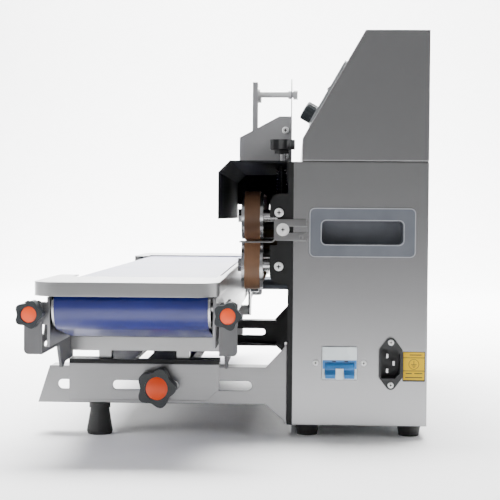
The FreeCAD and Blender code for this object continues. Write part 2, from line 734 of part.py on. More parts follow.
def end_brackets():
    """Edge plates on the housing's front, with a narrow neck behind the guide, and the spring seat."""
    back = -FRONT_PLATE
    front = back - BRACKET_WIDTH
    high, low = SEAL_LINE + BRACKET_REACH, SEAL_LINE - BRACKET_REACH + 5
    shapes = []
    for x in (END_X - 0.2, FAR_WHEEL_X - WHEEL_R - 16):
        span = (x - BRACKET_THICK, x)
        upper = hull("x", [(front + 0.5, 207.5, 0.5), (back - 0.5, 207.5, 0.5), (back - 0.5, high - 0.5, 0.5),
                           (front + 10, high - 10, 10)], span)
        lower = hull("x", [(front + 10, low + 10, 10), (back - 0.5, low + 0.5, 0.5), (back - 0.5, 180.0, 0.5),
                           (front + 0.5, 180.0, 0.5)], span)
        neck = box(span, (back - 10, back), (180.0, 207.5))
        shapes.append(join([upper, lower, neck]))
    seat = box((PRESS_X - 12, PRESS_X + 12), (front, back), (226, 230))
    hole = rod("z", (PRESS_X, PRESS_KNOB_Y), 3.6, (220, 240))
    shapes.append(seat.cut(hole))
    return group(shapes)


def press_spring():
    """The coil spring round the knob's stem, as closed rings one pitch apart."""
    low, high, radius, wire = 230.6, GUARD_TOP - GUARD_SHEET - 0.9, 4.8, 0.6
    turns = 8
    rings = []
    for turn in range(turns):
        level = low + (high - low) * turn / (turns - 1)
        rings.append(Part.makeTorus(radius, wire, V(PRESS_X, PRESS_KNOB_Y, level)))
    return group(rings)


def pressure_knob():
    knob = star_knob((PRESS_KNOB_Y, -PRESS_X), PRESS_KNOB_Z, PRESS_KNOB_R, PRESS_KNOB_LONG, 2.5, 47)
    knob.rotate(V(0, 0, 0), V(0, 1, 0), -90)
    return knob


def guard_cover():
    back, front, top = -FRONT_PLATE, -GUARD_REACH, GUARD_TOP
    cut, sheet = GUARD_CHAMFER, GUARD_SHEET
    ease = sheet * math.tan(math.radians(22.5))
    outline = [(back, top - 20), (back, top), (front + cut, top), (front, top - cut),
               (front, top - GUARD_DROP), (front + sheet, top - GUARD_DROP), (front + sheet, top - cut - ease),
               (front + cut + ease, top - sheet), (back - sheet, top - sheet), (back - sheet, top - 20)]
    far = END_X - 2 - GUARD_LENGTH
    cover = prism("x", outline, (far, END_X - 2))
    end_wall = [(back, top - GUARD_END_DROP), (back, top), (front + cut, top), (front, top - cut),
                (front, top - GUARD_END_DROP)]
    cover = cover.fuse(prism("x", end_wall, (far, far + sheet))).removeSplitter()
    return cover.cut(rod("z", (PRESS_X, PRESS_KNOB_Y), 4.0, (top - 5, top + 5)))


def guide_bracket():
    """The bag guide: a forked plate on the end, bent into a wall and a tongue between the bands."""
    x0 = END_X + GAP
    plate = rounded("x", (-17.0, 12.3), (185.0, 205.2), 1.2, (x0, x0 + 2))
    y, z = GUIDE_SCREW
    fork = hull("x", [(y - 0.6, z, 2.85), (30, z, 2.85)], (x0 - 1, x0 + 3))
    hole = rod("x", (7.1, 188.4), 1.5, (x0 - 1, x0 + 3))
    bend, sheet = 4.0, 1.2
    wall = box((x0 - 33, x0 + 2), (-18.2, -17.0), (183.0 + bend, 205.2))
    tongue = box((x0 - 33, x0 + 2), (-50.6, -17.0 - bend), (183.0, 183.0 + sheet))
    corner = rod("x", (-17.0 - bend, 183.0 + bend), bend, (x0 - 33, x0 + 2))
    corner = corner.cut(rod("x", (-17.0 - bend, 183.0 + bend), bend - sheet, (x0 - 34, x0 + 3)))
    quarter = box((x0 - 33, x0 + 2), (-17.0 - bend, -17.0), (183.0, 183.0 + bend))
    return join([plate.cut([fork, hole]), wall, tongue, corner.common(quarter)])


# ---- reel holder ----
def reel_plate():
    """The plate, its upright sheet and the post that stand on the guard."""
    outline = [(-56.6, GUARD_TOP), (-3.4, GUARD_TOP), (-3.4, 311.6), (-15.4, 311.6), (-56.6, 289.4)]
    plate = prism("x", outline, (REEL_X - REEL_SHEET, REEL_X))
    upright = box((REEL_X - 55, REEL_X), (-3.4, -2.4), (GUARD_TOP, REEL_TOP))
    post = box((REEL_X - 22, REEL_X - REEL_SHEET), (-43.4, -38.2), (GUARD_TOP, REEL_TOP - 3))
    hole = rod("y", (REEL_X - 12, REEL_SHAFT_Z), REEL_SHAFT_R, (-60, 5))
    return group([plate, upright.cut(hole), post.cut(hole)])


def reel_shaft():
    spot = (REEL_X - 12, REEL_SHAFT_Z)
    bar = rod("y", spot, REEL_SHAFT_R, (-43.4, 3.3))
    collar = rod("y", spot, 7.0, (-38.2, -36.0))
    tab = box((spot[0] - 2, spot[0] + 2), (-38.2, -34.4), (spot[1] - 9, spot[1]))
    nut = rod("y", spot, 5.6, (-1.2, 3.3))
    inner = rod("y", spot, 5.0, (-6.4, -3.4))
    return join([bar, collar, tab, nut, inner])


# ---- conveyor ----
def belt_path():
    """Roller circles that the belt runs round, counter-clockwise from the far end."""
    return [(-END_ROLLER_X, END_ROLLER_Z, END_ROLLER_R), (DRIVE_X, DRIVE_Z, DRIVE_R),
            (TENSION_X, TENSION_Z, TENSION_R), (END_ROLLER_X, END_ROLLER_Z, END_ROLLER_R)]


def conveyor_belt():
    return loop("y", belt_path(), BELT_THICK, (BELT_LEFT, BELT_RIGHT))


def roller(centre, radius, shaft_r):
    body = rod("y", centre, radius - GAP, (BELT_LEFT - 2, BELT_RIGHT + 2))
    body = body.cut(rod("y", centre, shaft_r, (BELT_LEFT - 3, BELT_RIGHT + 3)))
    shaft = rod("y", centre, shaft_r, (BED_LEFT - BED_SHEET, BED_RIGHT + BED_SHEET))
    return group([body, shaft])


def drive_roller():
    centre = (DRIVE_X, DRIVE_Z)
    body = rod("y", centre, DRIVE_R - GAP, (BELT_LEFT - 2, BELT_RIGHT + 2))
    stub = rod("y", centre, 4.0, (BED_LEFT - BED_SHEET, BELT_LEFT - 2))
    return body.fuse(stub)


def drive_shaft():
    """The shaft from the roller into the housing, with its silver coupling collar."""
    centre = (DRIVE_X, DRIVE_Z)
    bar = rod("y", centre, SHAFT_R, (BELT_RIGHT + 2, AXLE_IN))
    start = SIDE_RIGHT + SIDE_SHEET + 1.6
    collar = rod("y", centre, SHAFT_R + 3.5, (start, start + 11))
    collar = collar.cut(rod("x", (start + 5.5, DRIVE_Z), 2.0, (DRIVE_X + SHAFT_R, DRIVE_X + 20)))
    return join([bar, collar])


def conveyor_bed():
    """Top plate, side plates, rails and the knob ears, as one folded frame."""
    reach = SIDE_FACE_X - SIDE_SHEET - GAP
    top = box((20.0 - END_ROLLER_X, END_ROLLER_X - 20.0), (BED_LEFT - 0.1, BED_RIGHT + 0.1),
              (BED_TOP - BED_SHEET, BED_TOP))
    shapes = [top]
    ear_left = (SIDE_LEFT - SIDE_FLANGE, BED_LEFT)
    ear_right = (BED_RIGHT, SIDE_RIGHT + SIDE_FLANGE)
    rail_top = GUARD_END_TOP - GUARD_END_SHEET
    for y in ((BED_LEFT - BED_SHEET, BED_LEFT), (BED_RIGHT, BED_RIGHT + BED_SHEET)):
        shapes.append(box((-reach, reach), y, (96.0, rail_top - GUARD_END_RIM)))
        shapes.append(box((-END_ROLLER_X, END_ROLLER_X), y, (96.0, BED_TOP)))
    for ends in ((-reach, 4.7 - reach), (reach - 4.7, reach)):
        for y in (ear_left, ear_right):
            shapes.append(box(ends, y, (LIFT_KNOB_Z - 10, LIFT_KNOB_Z + 9)))
    rail = (BED_RIGHT - 1.5, BED_RIGHT + BED_SHEET + 0.5)
    shapes.append(box((-END_ROLLER_X, END_ROLLER_X), rail, (BED_TOP, rail_top)))
    for ends in ((-END_ROLLER_X, -END_X), (END_X, END_ROLLER_X)):
        shapes.append(box(ends, (BED_LEFT - BED_SHEET, BED_LEFT), (BED_TOP, rail_top)))
    cuts = []
    across = (BED_LEFT - BED_SHEET - 1, BED_RIGHT + BED_SHEET + 1)
    for centre in ((-END_ROLLER_X, END_ROLLER_Z), (TENSION_X, TENSION_Z), (END_ROLLER_X, END_ROLLER_Z)):
        cuts.append(rod("y", centre, 4.0 + FIT, across))
    drive = (DRIVE_X, DRIVE_Z)
    cuts.append(rod("y", drive, 4.0 + FIT, (across[0], BELT_LEFT)))
    cuts.append(rod("y", drive, SHAFT_R + FIT, (BELT_RIGHT, across[1])))
    for y in knob_lines():
        cuts.append(rod("x", (y, LIFT_KNOB_Z), SMALL_BOLT_R + FIT, (-SIDE_FACE_X, SIDE_FACE_X)))
    bed = join(shapes).cut(cuts)
    return bed


def knob_lines():
    """The y of the left and right lift knobs."""
    return (SIDE_LEFT - SIDE_FLANGE / 2, SIDE_RIGHT + SIDE_FLANGE / 2)


def lift_knob(y, near):
    start = SIDE_FACE_X + GAP
    knob = star_knob((y, LIFT_KNOB_Z), start, SMALL_KNOB_R, SMALL_KNOB_LONG, SMALL_BOLT_R,
                     start - SIDE_FACE_X + SIDE_SHEET + GAP + 4.5)
    return knob if near else mirror_x(knob)


def end_guard():
    """A rounded cap over the belt's end, open in the middle behind its cover strip."""
    left, right, corner = GUARD_END_LEFT, GUARD_END_RIGHT, GUARD_END_R
    back = GUARD_END_X - GUARD_END_SIDES
    outline = [(back - 20, left + 2, 2.0), (GUARD_END_X - corner, left + corner, corner),
               (GUARD_END_X - corner, right - corner, corner), (back - 20, right - 2, 2.0)]
    low = GUARD_END_TOP - GUARD_END_RIM
    outer = hull("z", outline, (low, GUARD_END_TOP))
    inner = hull("z", outline, (low - 1, GUARD_END_TOP - GUARD_END_SHEET), -GUARD_END_SHEET)
    behind = box((back - 30, back), (left - 5, right + 5), (low - 5, GUARD_END_TOP + 5))
    window = box((back - 1, GUARD_END_X - GUARD_END_COVER), (BELT_LEFT - 1.5, BELT_RIGHT + 1.5),
                 (low, GUARD_END_TOP + 1))
    return outer.cut([inner, behind, window])


def end_guards():
    near = end_guard()
    return group([near, mirror_x(near)])


# ---- carriage ----
def slide_channels():
    face = (ARM_FACE_X + GAP, CHANNEL_FACE_X)
    left, right = CHANNEL_Y
    low = ARM_LOW + 3
    outline = [(left, low), (right - 11, low), (right, low + 11), (right, CHANNEL_TOP), (left, CHANNEL_TOP)]
    plate = prism("x", outline, face)
    top = box((ARM_FACE_X - ARM_FLANGE, CHANNEL_FACE_X), CHANNEL_Y,
              (CHANNEL_TOP - CHANNEL_SHEET, CHANNEL_TOP))
    half = ARM_SLOT / 2
    opening = slot("x", (CHANNEL_SLOT_Y[0] + half, SLOT_Z), (CHANNEL_SLOT_Y[1] - half, SLOT_Z), ARM_SLOT,
                   (face[0] - 1, face[1] + 1))
    near = join([plate, top]).cut(opening)
    return group([near, mirror_x(near)])


def carriage_beam():
    reach = CHANNEL_FACE_X
    level = (CHANNEL_TOP, BEAM_TOP)
    plate = box((-reach, reach), BEAM_Y, level)
    near = box((reach - BEAM_END, reach), CHANNEL_Y, level)
    ends = [near, mirror_x(near)]
    lips = [box((-240, 240), (BEAM_Y[0], BEAM_Y[0] + 2.5), (CHANNEL_TOP - 9, CHANNEL_TOP)),
            box((-240, 240), (BEAM_Y[1] - 2.5, BEAM_Y[1]), (CHANNEL_TOP - 9, CHANNEL_TOP))]
    cuts = []
    for span in ((140, 274), (-274, -140), (-60, 60)):
        cuts.append(box(span, (-150, -137.5), (60, 80)))
    return join([plate] + ends + lips).cut(cuts)


def tie_bars():
    """Square bars between the side brackets: the near one on spacers, the far one on the beam."""
    span = (CHANNEL_FACE_X - 22, CHANNEL_FACE_X - 22 + TIE_SIZE)
    across = (SIDE_LEFT, SIDE_RIGHT)
    near = [box(span, across, (TIE_LOW, TIE_LOW + TIE_SIZE))]
    for y in TIE_SPACERS:
        near.append(box(span, y, (BEAM_TOP, TIE_LOW)))
    far = mirror_x(box(span, across, (BEAM_TOP, BEAM_TOP + TIE_SIZE)))
    return group([join(near), far])


def side_bracket(web, flange, hole_y):
    """A side plate that runs out from the tie bar to a flange at the belt's end."""
    start, end = CHANNEL_FACE_X - 22, SIDE_FACE_X
    outline = [(start, BEAM_TOP), (start + 40, BEAM_TOP), (start + 50, 68.0), (start + 58, 68.0),
               (start + 74, 90.0), (end, 90.0), (end, 106.0), (end - 18, 106.0),
               (end - 32, 128.0), (start, 128.0)]
    plate = prism("y", outline, web)
    opening = slot("y", (start + 46, 97.0), (end - 14, 97.0), 5.0, (web[0] - 1, web[1] + 1))
    face = rounded("x", flange, (90.0, 135.5), 4.0, (end - SIDE_SHEET, end))
    fork = box((end - 5, end + 1), (hole_y - SMALL_BOLT_R - EASY, hole_y + SMALL_BOLT_R + EASY),
               (LIFT_KNOB_Z - LIFT_DOWN - SMALL_BOLT_R - EASY, 140))
    return join([plate.cut(opening), face.cut(fork)])


def side_brackets():
    lines = knob_lines()
    left = side_bracket((SIDE_LEFT - SIDE_SHEET, SIDE_LEFT), (SIDE_LEFT - SIDE_FLANGE, SIDE_LEFT), lines[0])
    right = side_bracket((SIDE_RIGHT, SIDE_RIGHT + SIDE_SHEET), (SIDE_RIGHT, SIDE_RIGHT + SIDE_FLANGE),
                         lines[1])
    return group([left, right, mirror_x(left), mirror_x(right)])


def arm_knob(near):
    start = CHANNEL_FACE_X + GAP
    knob = star_knob((ARM_KNOB_Y, SLOT_Z), start, ARM_KNOB_R, ARM_KNOB_LONG, ARM_BOLT_R, 26)
    nut = rod("x", (ARM_KNOB_Y, SLOT_Z), 7.0, (ARM_FACE_X - ARM_SHEET - 7, ARM_FACE_X - ARM_SHEET - 1))
    knob = knob.fuse(nut)
    return knob if near else mirror_x(knob)


def arm():
    """A slotted channel that reaches out from the housing and flares at its root."""
    back = -FRONT_PLATE
    web_x = (ARM_FACE_X - ARM_SHEET, ARM_FACE_X)
    flange_x = (ARM_FACE_X - ARM_FLANGE, ARM_FACE_X)
    outline = [(-ARM_LENGTH, ARM_LOW), (back - 20, ARM_LOW), (back, FOOT_HEIGHT), (back, ARM_TOP + 22),
               (back - 20, ARM_TOP), (11 - ARM_LENGTH, ARM_TOP)]
    half = ARM_SLOT / 2
    opening = slot("x", (ARM_SLOT_Y[0] + half, SLOT_Z), (ARM_SLOT_Y[1] - half, SLOT_Z), ARM_SLOT,
                   (web_x[0] - 1, web_x[1] + 1))
    shapes = [prism("x", outline, web_x).cut(opening)]
    shapes.append(box(flange_x, (12 - ARM_LENGTH, back - 18), (ARM_TOP - ARM_SHEET, ARM_TOP)))
    shapes.append(box(flange_x, (2 - ARM_LENGTH, back - 18), (ARM_LOW, ARM_LOW + ARM_SHEET)))
    shapes.append(box(flange_x, (back - ARM_SHEET, back), (FOOT_HEIGHT, ARM_TOP + 22)))
    return join(shapes)


# ---- inside the housing ----
def gear_motor():
    spot = (FAR_WHEEL_X, LOWER_AXIS_Z)
    low_y = GEAR_FRONT + GEAR_WIDTH + 4
    case = box((spot[0] - 40, spot[0] + 40), (low_y, low_y + 44), (spot[1] - 28, spot[1] + 30))
    motor = rod("x", (low_y + 22, spot[1]), 27.0, (spot[0] + 40, spot[0] + 150))
    legs = []
    for side in (-36, 32):
        legs.append(box((spot[0] + side, spot[0] + side + 4), (low_y + 4, low_y + 40),
                        (FOOT_HEIGHT + BASE_PLATE, spot[1] - 28)))
    bore = rod("y", spot, AXLE_R + FIT, (low_y - 1, low_y + 45))
    return join([case, motor] + legs).cut(bore)


def fan_centre():
    return (BOX_DEPTH / 2, 90.0)


def fan_frame():
    y, z = fan_centre()
    span = (SHEET - END_X, SHEET - END_X + 20)
    frame = rounded("x", (y - 40, y + 40), (z - 40, z + 40), 4.0, span)
    frame = frame.cut(rod("x", (y, z), 38.0, (span[0] - 1, span[1] + 1)))
    back = (span[1] - 2, span[1])
    struts = [rod("x", (y, z), 14.0, back), box(back, (y - 39, y + 39), (z - 2, z + 2)),
              box(back, (y - 2, y + 2), (z - 39, z + 39))]
    return join([frame] + struts)


def fan_rotor():
    y, z = fan_centre()
    span = (SHEET - END_X + 2, SHEET - END_X + 17.5)
    shapes = [rod("x", (y, z), 15.0, span)]
    for step in range(7):
        blade = box((span[0] + 6, span[0] + 8), (y - 6, y + 6), (z + 13, z + 36))
        blade.rotate(V(span[0] + 7, y, z), V(0, 0, 1), 35)
        blade.rotate(V(0, y, z), V(1, 0, 0), 360.0 * step / 7)
        shapes.append(blade)
    return join(shapes)


def control_board():
    wall = BOX_DEPTH - SHEET
    board = box((60, 210), (wall - 7, wall - 5.4), (40, 120))
    shapes = [board]
    for x in (66, 204):
        for z in (46, 114):
            shapes.append(rod("y", (x, z), 3.0, (wall - 7, wall)))
    parts = [((75, 110), 26, (50, 90)), ((120, 150), 18, (45, 75)),
             ((160, 195), 12, (84, 110)), ((120, 132), 14, (92, 104))]
    for x, tall, z in parts:
        shapes.append(box(x, (wall - 7 - tall, wall - 7), z))
    return join(shapes)


def pieces():
    """Every piece of the machine by name."""
    near, far = NEAR_WHEEL_X, FAR_WHEEL_X
    upper, lower = UPPER_AXIS_Z, LOWER_AXIS_Z
    left, right = knob_lines()
    arm_shape = arm()
    return {
        "housing_shell": housing_shell(),
        "base_plate": base_plate(),
        "front_plate": front_plate(),
        "rubber_feet": feet(),
        "control_head": control_head(),
        "control_panel": control_panel(),
        "temperature_controller": temperature_controller(),
        "key_down": controller_key(KEY_X[0]),
        "key_up": controller_key(KEY_X[1]),
        "switch_bodies": switch_bodies(),
        "rocker_power": rocker(SWITCH_X[1]),
        "rocker_heat": rocker(SWITCH_X[0]),
        "speed_knob": speed_knob(),
        "handle_cups": handle_cups(),
        "breaker_body": breaker_body(),
        "breaker_toggle": breaker_toggle(),
        "power_inlet": power_inlet(),
        "inlet_pins": inlet_pins(),
        "screws": screws(),
        "gear_motor": gear_motor(),
        "fan_frame": fan_frame(),
        "fan_rotor": fan_rotor(),
        "control_board": control_board(),
        "wheel_bearings": wheel_bearings(),
        "upper_wheel_near": seal_wheel(near, upper, 14, False),
        "upper_wheel_far": seal_wheel(far, upper, GEAR_FRONT + GEAR_WIDTH + 2, True),
        "lower_wheel_near": seal_wheel(near, lower, 14, False),
        "lower_wheel_far": seal_wheel(far, lower, AXLE_IN, True),
        "press_wheel_upper": press_wheel(press_heights()[0]),
        "press_wheel_lower": press_wheel(press_heights()[1]),
        "upper_seal_band": seal_band(upper),
        "lower_seal_band": seal_band(lower),
        "heater_blocks": heater_blocks(),
        "cooling_blocks": cooling_blocks(),
        "end_brackets": end_brackets(),
        "press_spring": press_spring(),
        "pressure_knob": pressure_knob(),
        "guard_cover": guard_cover(),
        "guide_bracket": guide_bracket(),
        "reel_plate": reel_plate(),
        "reel_shaft": reel_shaft(),
        "arm_near": arm_shape,
        "arm_far": mirror_x(arm_shape),
        "slide_channels": slide_channels(),
        "carriage_beam": carriage_beam(),
        "tie_bars": tie_bars(),
        "side_brackets": side_brackets(),
        "arm_knob_near": arm_knob(True),
        "arm_knob_far": arm_knob(False),
        "conveyor_bed": conveyor_bed(),
        "conveyor_belt": conveyor_belt(),
        "end_guards": end_guards(),
        "end_roller_near": roller((END_ROLLER_X, END_ROLLER_Z), END_ROLLER_R, 4.0),
        "end_roller_far": roller((-END_ROLLER_X, END_ROLLER_Z), END_ROLLER_R, 4.0),
        "tension_roller": roller((TENSION_X, TENSION_Z), TENSION_R, 4.0),
        "drive_roller": group(drive_roller().Solids + drive_shaft().Solids),
        "lift_knob_near_left": lift_knob(left, True),
        "lift_knob_near_right": lift_knob(right, True),
        "lift_knob_far_left": lift_knob(left, False),
        "lift_knob_far_right": lift_knob(right, False),
    }


def main():
    os.makedirs("parts", exist_ok=True)
    for name, shape in pieces().items():
        moved = shape.copy()
        moved.translate(SHIFT)
        moved.exportStep(os.path.join("parts", name + ".step"))
        print(name, len(moved.Solids), "solids, volume", round(moved.Volume), "valid", moved.isValid())


if __name__ == "__main__":
    main()
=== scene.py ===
# %% [markdown]
# # A table-top continuous band sealer
# A stainless housing carries a heated pair of bands. A blue belt conveyor in front of it takes
# bags past the bands. The frame below gives every metal part at its true size, so this script
# adds the finishes, the small trim and the light.

# %% Load the frame
import bpy
import math
from mathutils import Matrix, Vector


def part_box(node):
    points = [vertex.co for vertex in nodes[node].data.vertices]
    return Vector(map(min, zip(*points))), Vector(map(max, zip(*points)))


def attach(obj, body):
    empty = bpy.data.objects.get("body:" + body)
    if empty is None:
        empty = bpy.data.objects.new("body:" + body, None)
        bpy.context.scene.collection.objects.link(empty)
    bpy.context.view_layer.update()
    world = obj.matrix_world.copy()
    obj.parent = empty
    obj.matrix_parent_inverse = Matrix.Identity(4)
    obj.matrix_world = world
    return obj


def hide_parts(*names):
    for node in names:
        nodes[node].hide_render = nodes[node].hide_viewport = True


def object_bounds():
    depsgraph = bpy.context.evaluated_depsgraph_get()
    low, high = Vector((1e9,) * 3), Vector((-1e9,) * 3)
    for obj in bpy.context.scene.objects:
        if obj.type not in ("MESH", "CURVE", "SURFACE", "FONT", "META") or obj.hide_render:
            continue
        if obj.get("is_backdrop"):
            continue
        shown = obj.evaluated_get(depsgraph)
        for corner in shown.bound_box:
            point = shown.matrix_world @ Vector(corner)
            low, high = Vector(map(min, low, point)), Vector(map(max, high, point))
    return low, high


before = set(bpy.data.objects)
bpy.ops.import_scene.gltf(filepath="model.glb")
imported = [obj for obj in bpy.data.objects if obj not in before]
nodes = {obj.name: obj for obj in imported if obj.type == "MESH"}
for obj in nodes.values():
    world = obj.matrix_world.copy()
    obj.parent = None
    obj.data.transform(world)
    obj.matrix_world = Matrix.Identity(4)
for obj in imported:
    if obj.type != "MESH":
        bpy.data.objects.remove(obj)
cad_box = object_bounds()
MM = 0.001

# %% [markdown]
# ## The camera
# The machine is seen almost end on, from just above the belt. A long lens keeps the end panel
# square. It could be aimed at a target with a constraint, but a fixed frame of three directions
# is easier to read and gives the same view each time.

# %% Place the camera
CAMERA_AT = Vector((1468.8, 58.2, 208.4)) * MM
TURN, DIP, ROLL = math.radians(-1.992), math.radians(1.564), math.radians(-0.409)
FOCAL_MM, SENSOR_MM = 90.97, 36.0
ahead = Vector((-math.cos(TURN) * math.cos(DIP), math.sin(TURN) * math.cos(DIP), -math.sin(DIP)))
side = ahead.cross(Vector((0, 0, 1))).normalized()
down = ahead.cross(side)
right = side * math.cos(ROLL) + down * math.sin(ROLL)
up = -(down * math.cos(ROLL) - side * math.sin(ROLL))
lens = bpy.data.cameras.new("camera")
lens.lens = FOCAL_MM
lens.sensor_width = SENSOR_MM
lens.clip_end = 50
camera = bpy.data.objects.new("camera", lens)
camera.matrix_world = Matrix((
    (right.x, up.x, -ahead.x, CAMERA_AT.x),
    (right.y, up.y, -ahead.y, CAMERA_AT.y),
    (right.z, up.z, -ahead.z, CAMERA_AT.z),
    (0, 0, 0, 1)))
bpy.context.collection.objects.link(camera)
bpy.context.scene.camera = camera
print("camera at", [round(c, 3) for c in camera.location])

# %% [markdown]
# ## Material helpers
# Colours are given as hex values, which are in sRGB, as on a screen. The shader wants linear light,
# so one function turns them. Another adds a node with its settings and its links in one line,
# which keeps each finish short enough to read.

# %% Colour and node helpers
def linear(hex_code):
    """An sRGB hex colour as a linear RGBA tuple."""
    channels = []
    for start in (0, 2, 4):
        value = int(hex_code[start:start + 2], 16) / 255
        channels.append(value / 12.92 if value <= 0.04045 else ((value + 0.055) / 1.055) ** 2.4)
    return (*channels, 1.0)


def add(tree, kind, settings=None, **links):
    """Add a node, set its properties, then set or link its inputs by name."""
    made = tree.nodes.new("ShaderNode" + kind)
    for key, value in (settings or {}).items():
        setattr(made, key, value)
    for key, value in links.items():
        socket = made.inputs[int(key[1:]) if key[1:].isdigit() else key.replace("_", " ")]
        if isinstance(value, bpy.types.NodeSocket):
            tree.links.new(value, socket)
        else:
            socket.default_value = value
    return made


def finish_of(name, **shader):
    """A new material with its shader's plain values set; returns it, its tree and its shader."""
    made = bpy.data.materials.new(name)
    made.use_nodes = True
    tree = made.node_tree
    body = tree.nodes["Principled BSDF"]
    for key, value in shader.items():
        body.inputs[key.replace("_", " ")].default_value = value
    return made, tree, body


def ramp(tree, source, low, high, start=0.3, end=0.7):
    """Mix two colours by a texture value."""
    made = add(tree, "ValToRGB", None, Fac=source)
    made.color_ramp.elements[0].position = start
    made.color_ramp.elements[1].position = end
    made.color_ramp.elements[0].color = linear(low)
    made.color_ramp.elements[1].color = linear(high)
    return made.outputs["Color"]


def spread(tree, source, low, high):
    """A texture value moved into a range, for roughness."""
    made = add(tree, "MapRange", None, Value=source, To_Min=low, To_Max=high)
    return made.outputs["Result"]


def per_mm(size_mm):
    """Texture scale that makes one feature this many millimetres, in a scene in metres."""
    return 1 / (size_mm * MM)


materials = {}
print("helpers ready")

# %% [markdown]
# ## Brushed stainless steel
# The housing is folded from sheet that was brushed along one way, which leaves fine scratches
# that blur reflections. A stretched noise gives those lines. Real scratches are about 0.1 mm
# apart, too fine to show, so they are drawn 0.5 mm apart. Each row of the table below holds a
# name, two tones, the way of brushing, the roughness and the relief. A bevel node rounds the
# folded edges to 1.4 mm for the light only, since sheet metal never has a knife edge.

# %% Make the brushed steels
ALONG_Y, ALONG_X = (1, 0.006, 1), (0.006, 1, 1)
SCRATCH_MM, CLOUD_MM, FOLD_MM = 0.5, 120, 1.4
SHEEN_DRIFT = 0.003


def brushed(name, dark, light, stretch, rough, bump):
    """Steel with scratches along the axis that has the smallest stretch."""
    made, tree, body = finish_of(name, Metallic=1.0)
    place = add(tree, "TexCoord")
    lines = add(tree, "Mapping", None, Vector=place.outputs["Object"], Scale=stretch)
    grain = add(tree, "TexNoise", None, Vector=lines.outputs["Vector"], Scale=per_mm(SCRATCH_MM), Detail=2.0,
                Roughness=0.6)
    cloud = add(tree, "TexNoise", None, Vector=place.outputs["Object"], Scale=per_mm(CLOUD_MM), Detail=2.0)
    both = add(tree, "Math", {"operation": "MULTIPLY_ADD"}, _0=grain.outputs["Fac"], _1=0.6)
    soft = add(tree, "Math", {"operation": "MULTIPLY"}, _0=cloud.outputs["Fac"], _1=0.4)
    tree.links.new(soft.outputs["Value"], both.inputs[2])
    tree.links.new(ramp(tree, both.outputs["Value"], dark, light), body.inputs["Base Color"])
    sheen = spread(tree, grain.outputs["Fac"], rough - SHEEN_DRIFT, rough + SHEEN_DRIFT)
    tree.links.new(sheen, body.inputs["Roughness"])
    fold = add(tree, "Bevel", {"samples": 4}, Radius=FOLD_MM * MM)
    relief = add(tree, "Bump", None, Strength=bump, Distance=0.1 * MM, Height=grain.outputs["Fac"],
                 Normal=fold.outputs["Normal"])
    tree.links.new(relief.outputs["Normal"], body.inputs["Normal"])
    return made


BRUSHED = {
    "housing_steel": ("brushed_stainless_housing", "9A9A9B", "9D9D9F", ALONG_Y, 0.27, 0.005),
    "arm_steel": ("brushed_stainless_arm", "848485", "888889", ALONG_Y, 0.30, 0.006),
    "guard_steel": ("brushed_stainless_cap", "9D9D9E", "A1A1A2", ALONG_Y, 0.28, 0.006),
    "bed_steel": ("brushed_stainless_bed", "97979A", "9C9C9F", ALONG_X, 0.32, 0.01),
}
for key, values in BRUSHED.items():
    materials[key] = brushed(*values)
print("steels:", sorted(materials))

# %% [markdown]
# ## Paint, plastic and rubber
# Powder coat dries with a faint orange peel about 0.6 mm across. Moulded ABS has an even, finer
# grain, and rubber is rougher and holds dust. All three are one recipe with different sizes:
# a noise that moves the colour, the roughness and a small bump together. Each row holds the
# name, two tones, the roughness, the grain in millimetres and the relief.

# %% Make the grained finishes
PLASTIC_IOR = 1.5
DRIFT_MM = 35.0


def grained(name, dark, light, rough, grain_mm, bump, metallic=0.0):
    """An even finish with a grain of a real size and a slow drift of tone."""
    made, tree, body = finish_of(name, Metallic=metallic)
    if metallic == 0:
        body.inputs["IOR"].default_value = PLASTIC_IOR
    place = add(tree, "TexCoord")
    grain = add(tree, "TexNoise", None, Vector=place.outputs["Object"], Scale=per_mm(grain_mm), Detail=4.0)
    drift = add(tree, "TexNoise", None, Vector=place.outputs["Object"], Scale=per_mm(DRIFT_MM), Detail=3.0)
    tree.links.new(ramp(tree, drift.outputs["Fac"], dark, light), body.inputs["Base Color"])
    tree.links.new(spread(tree, drift.outputs["Fac"], rough - 0.07, rough + 0.07), body.inputs["Roughness"])
    relief = add(tree, "Bump", None, Strength=bump, Distance=0.2 * MM, Height=grain.outputs["Fac"])
    tree.links.new(relief.outputs["Normal"], body.inputs["Normal"])
    return made


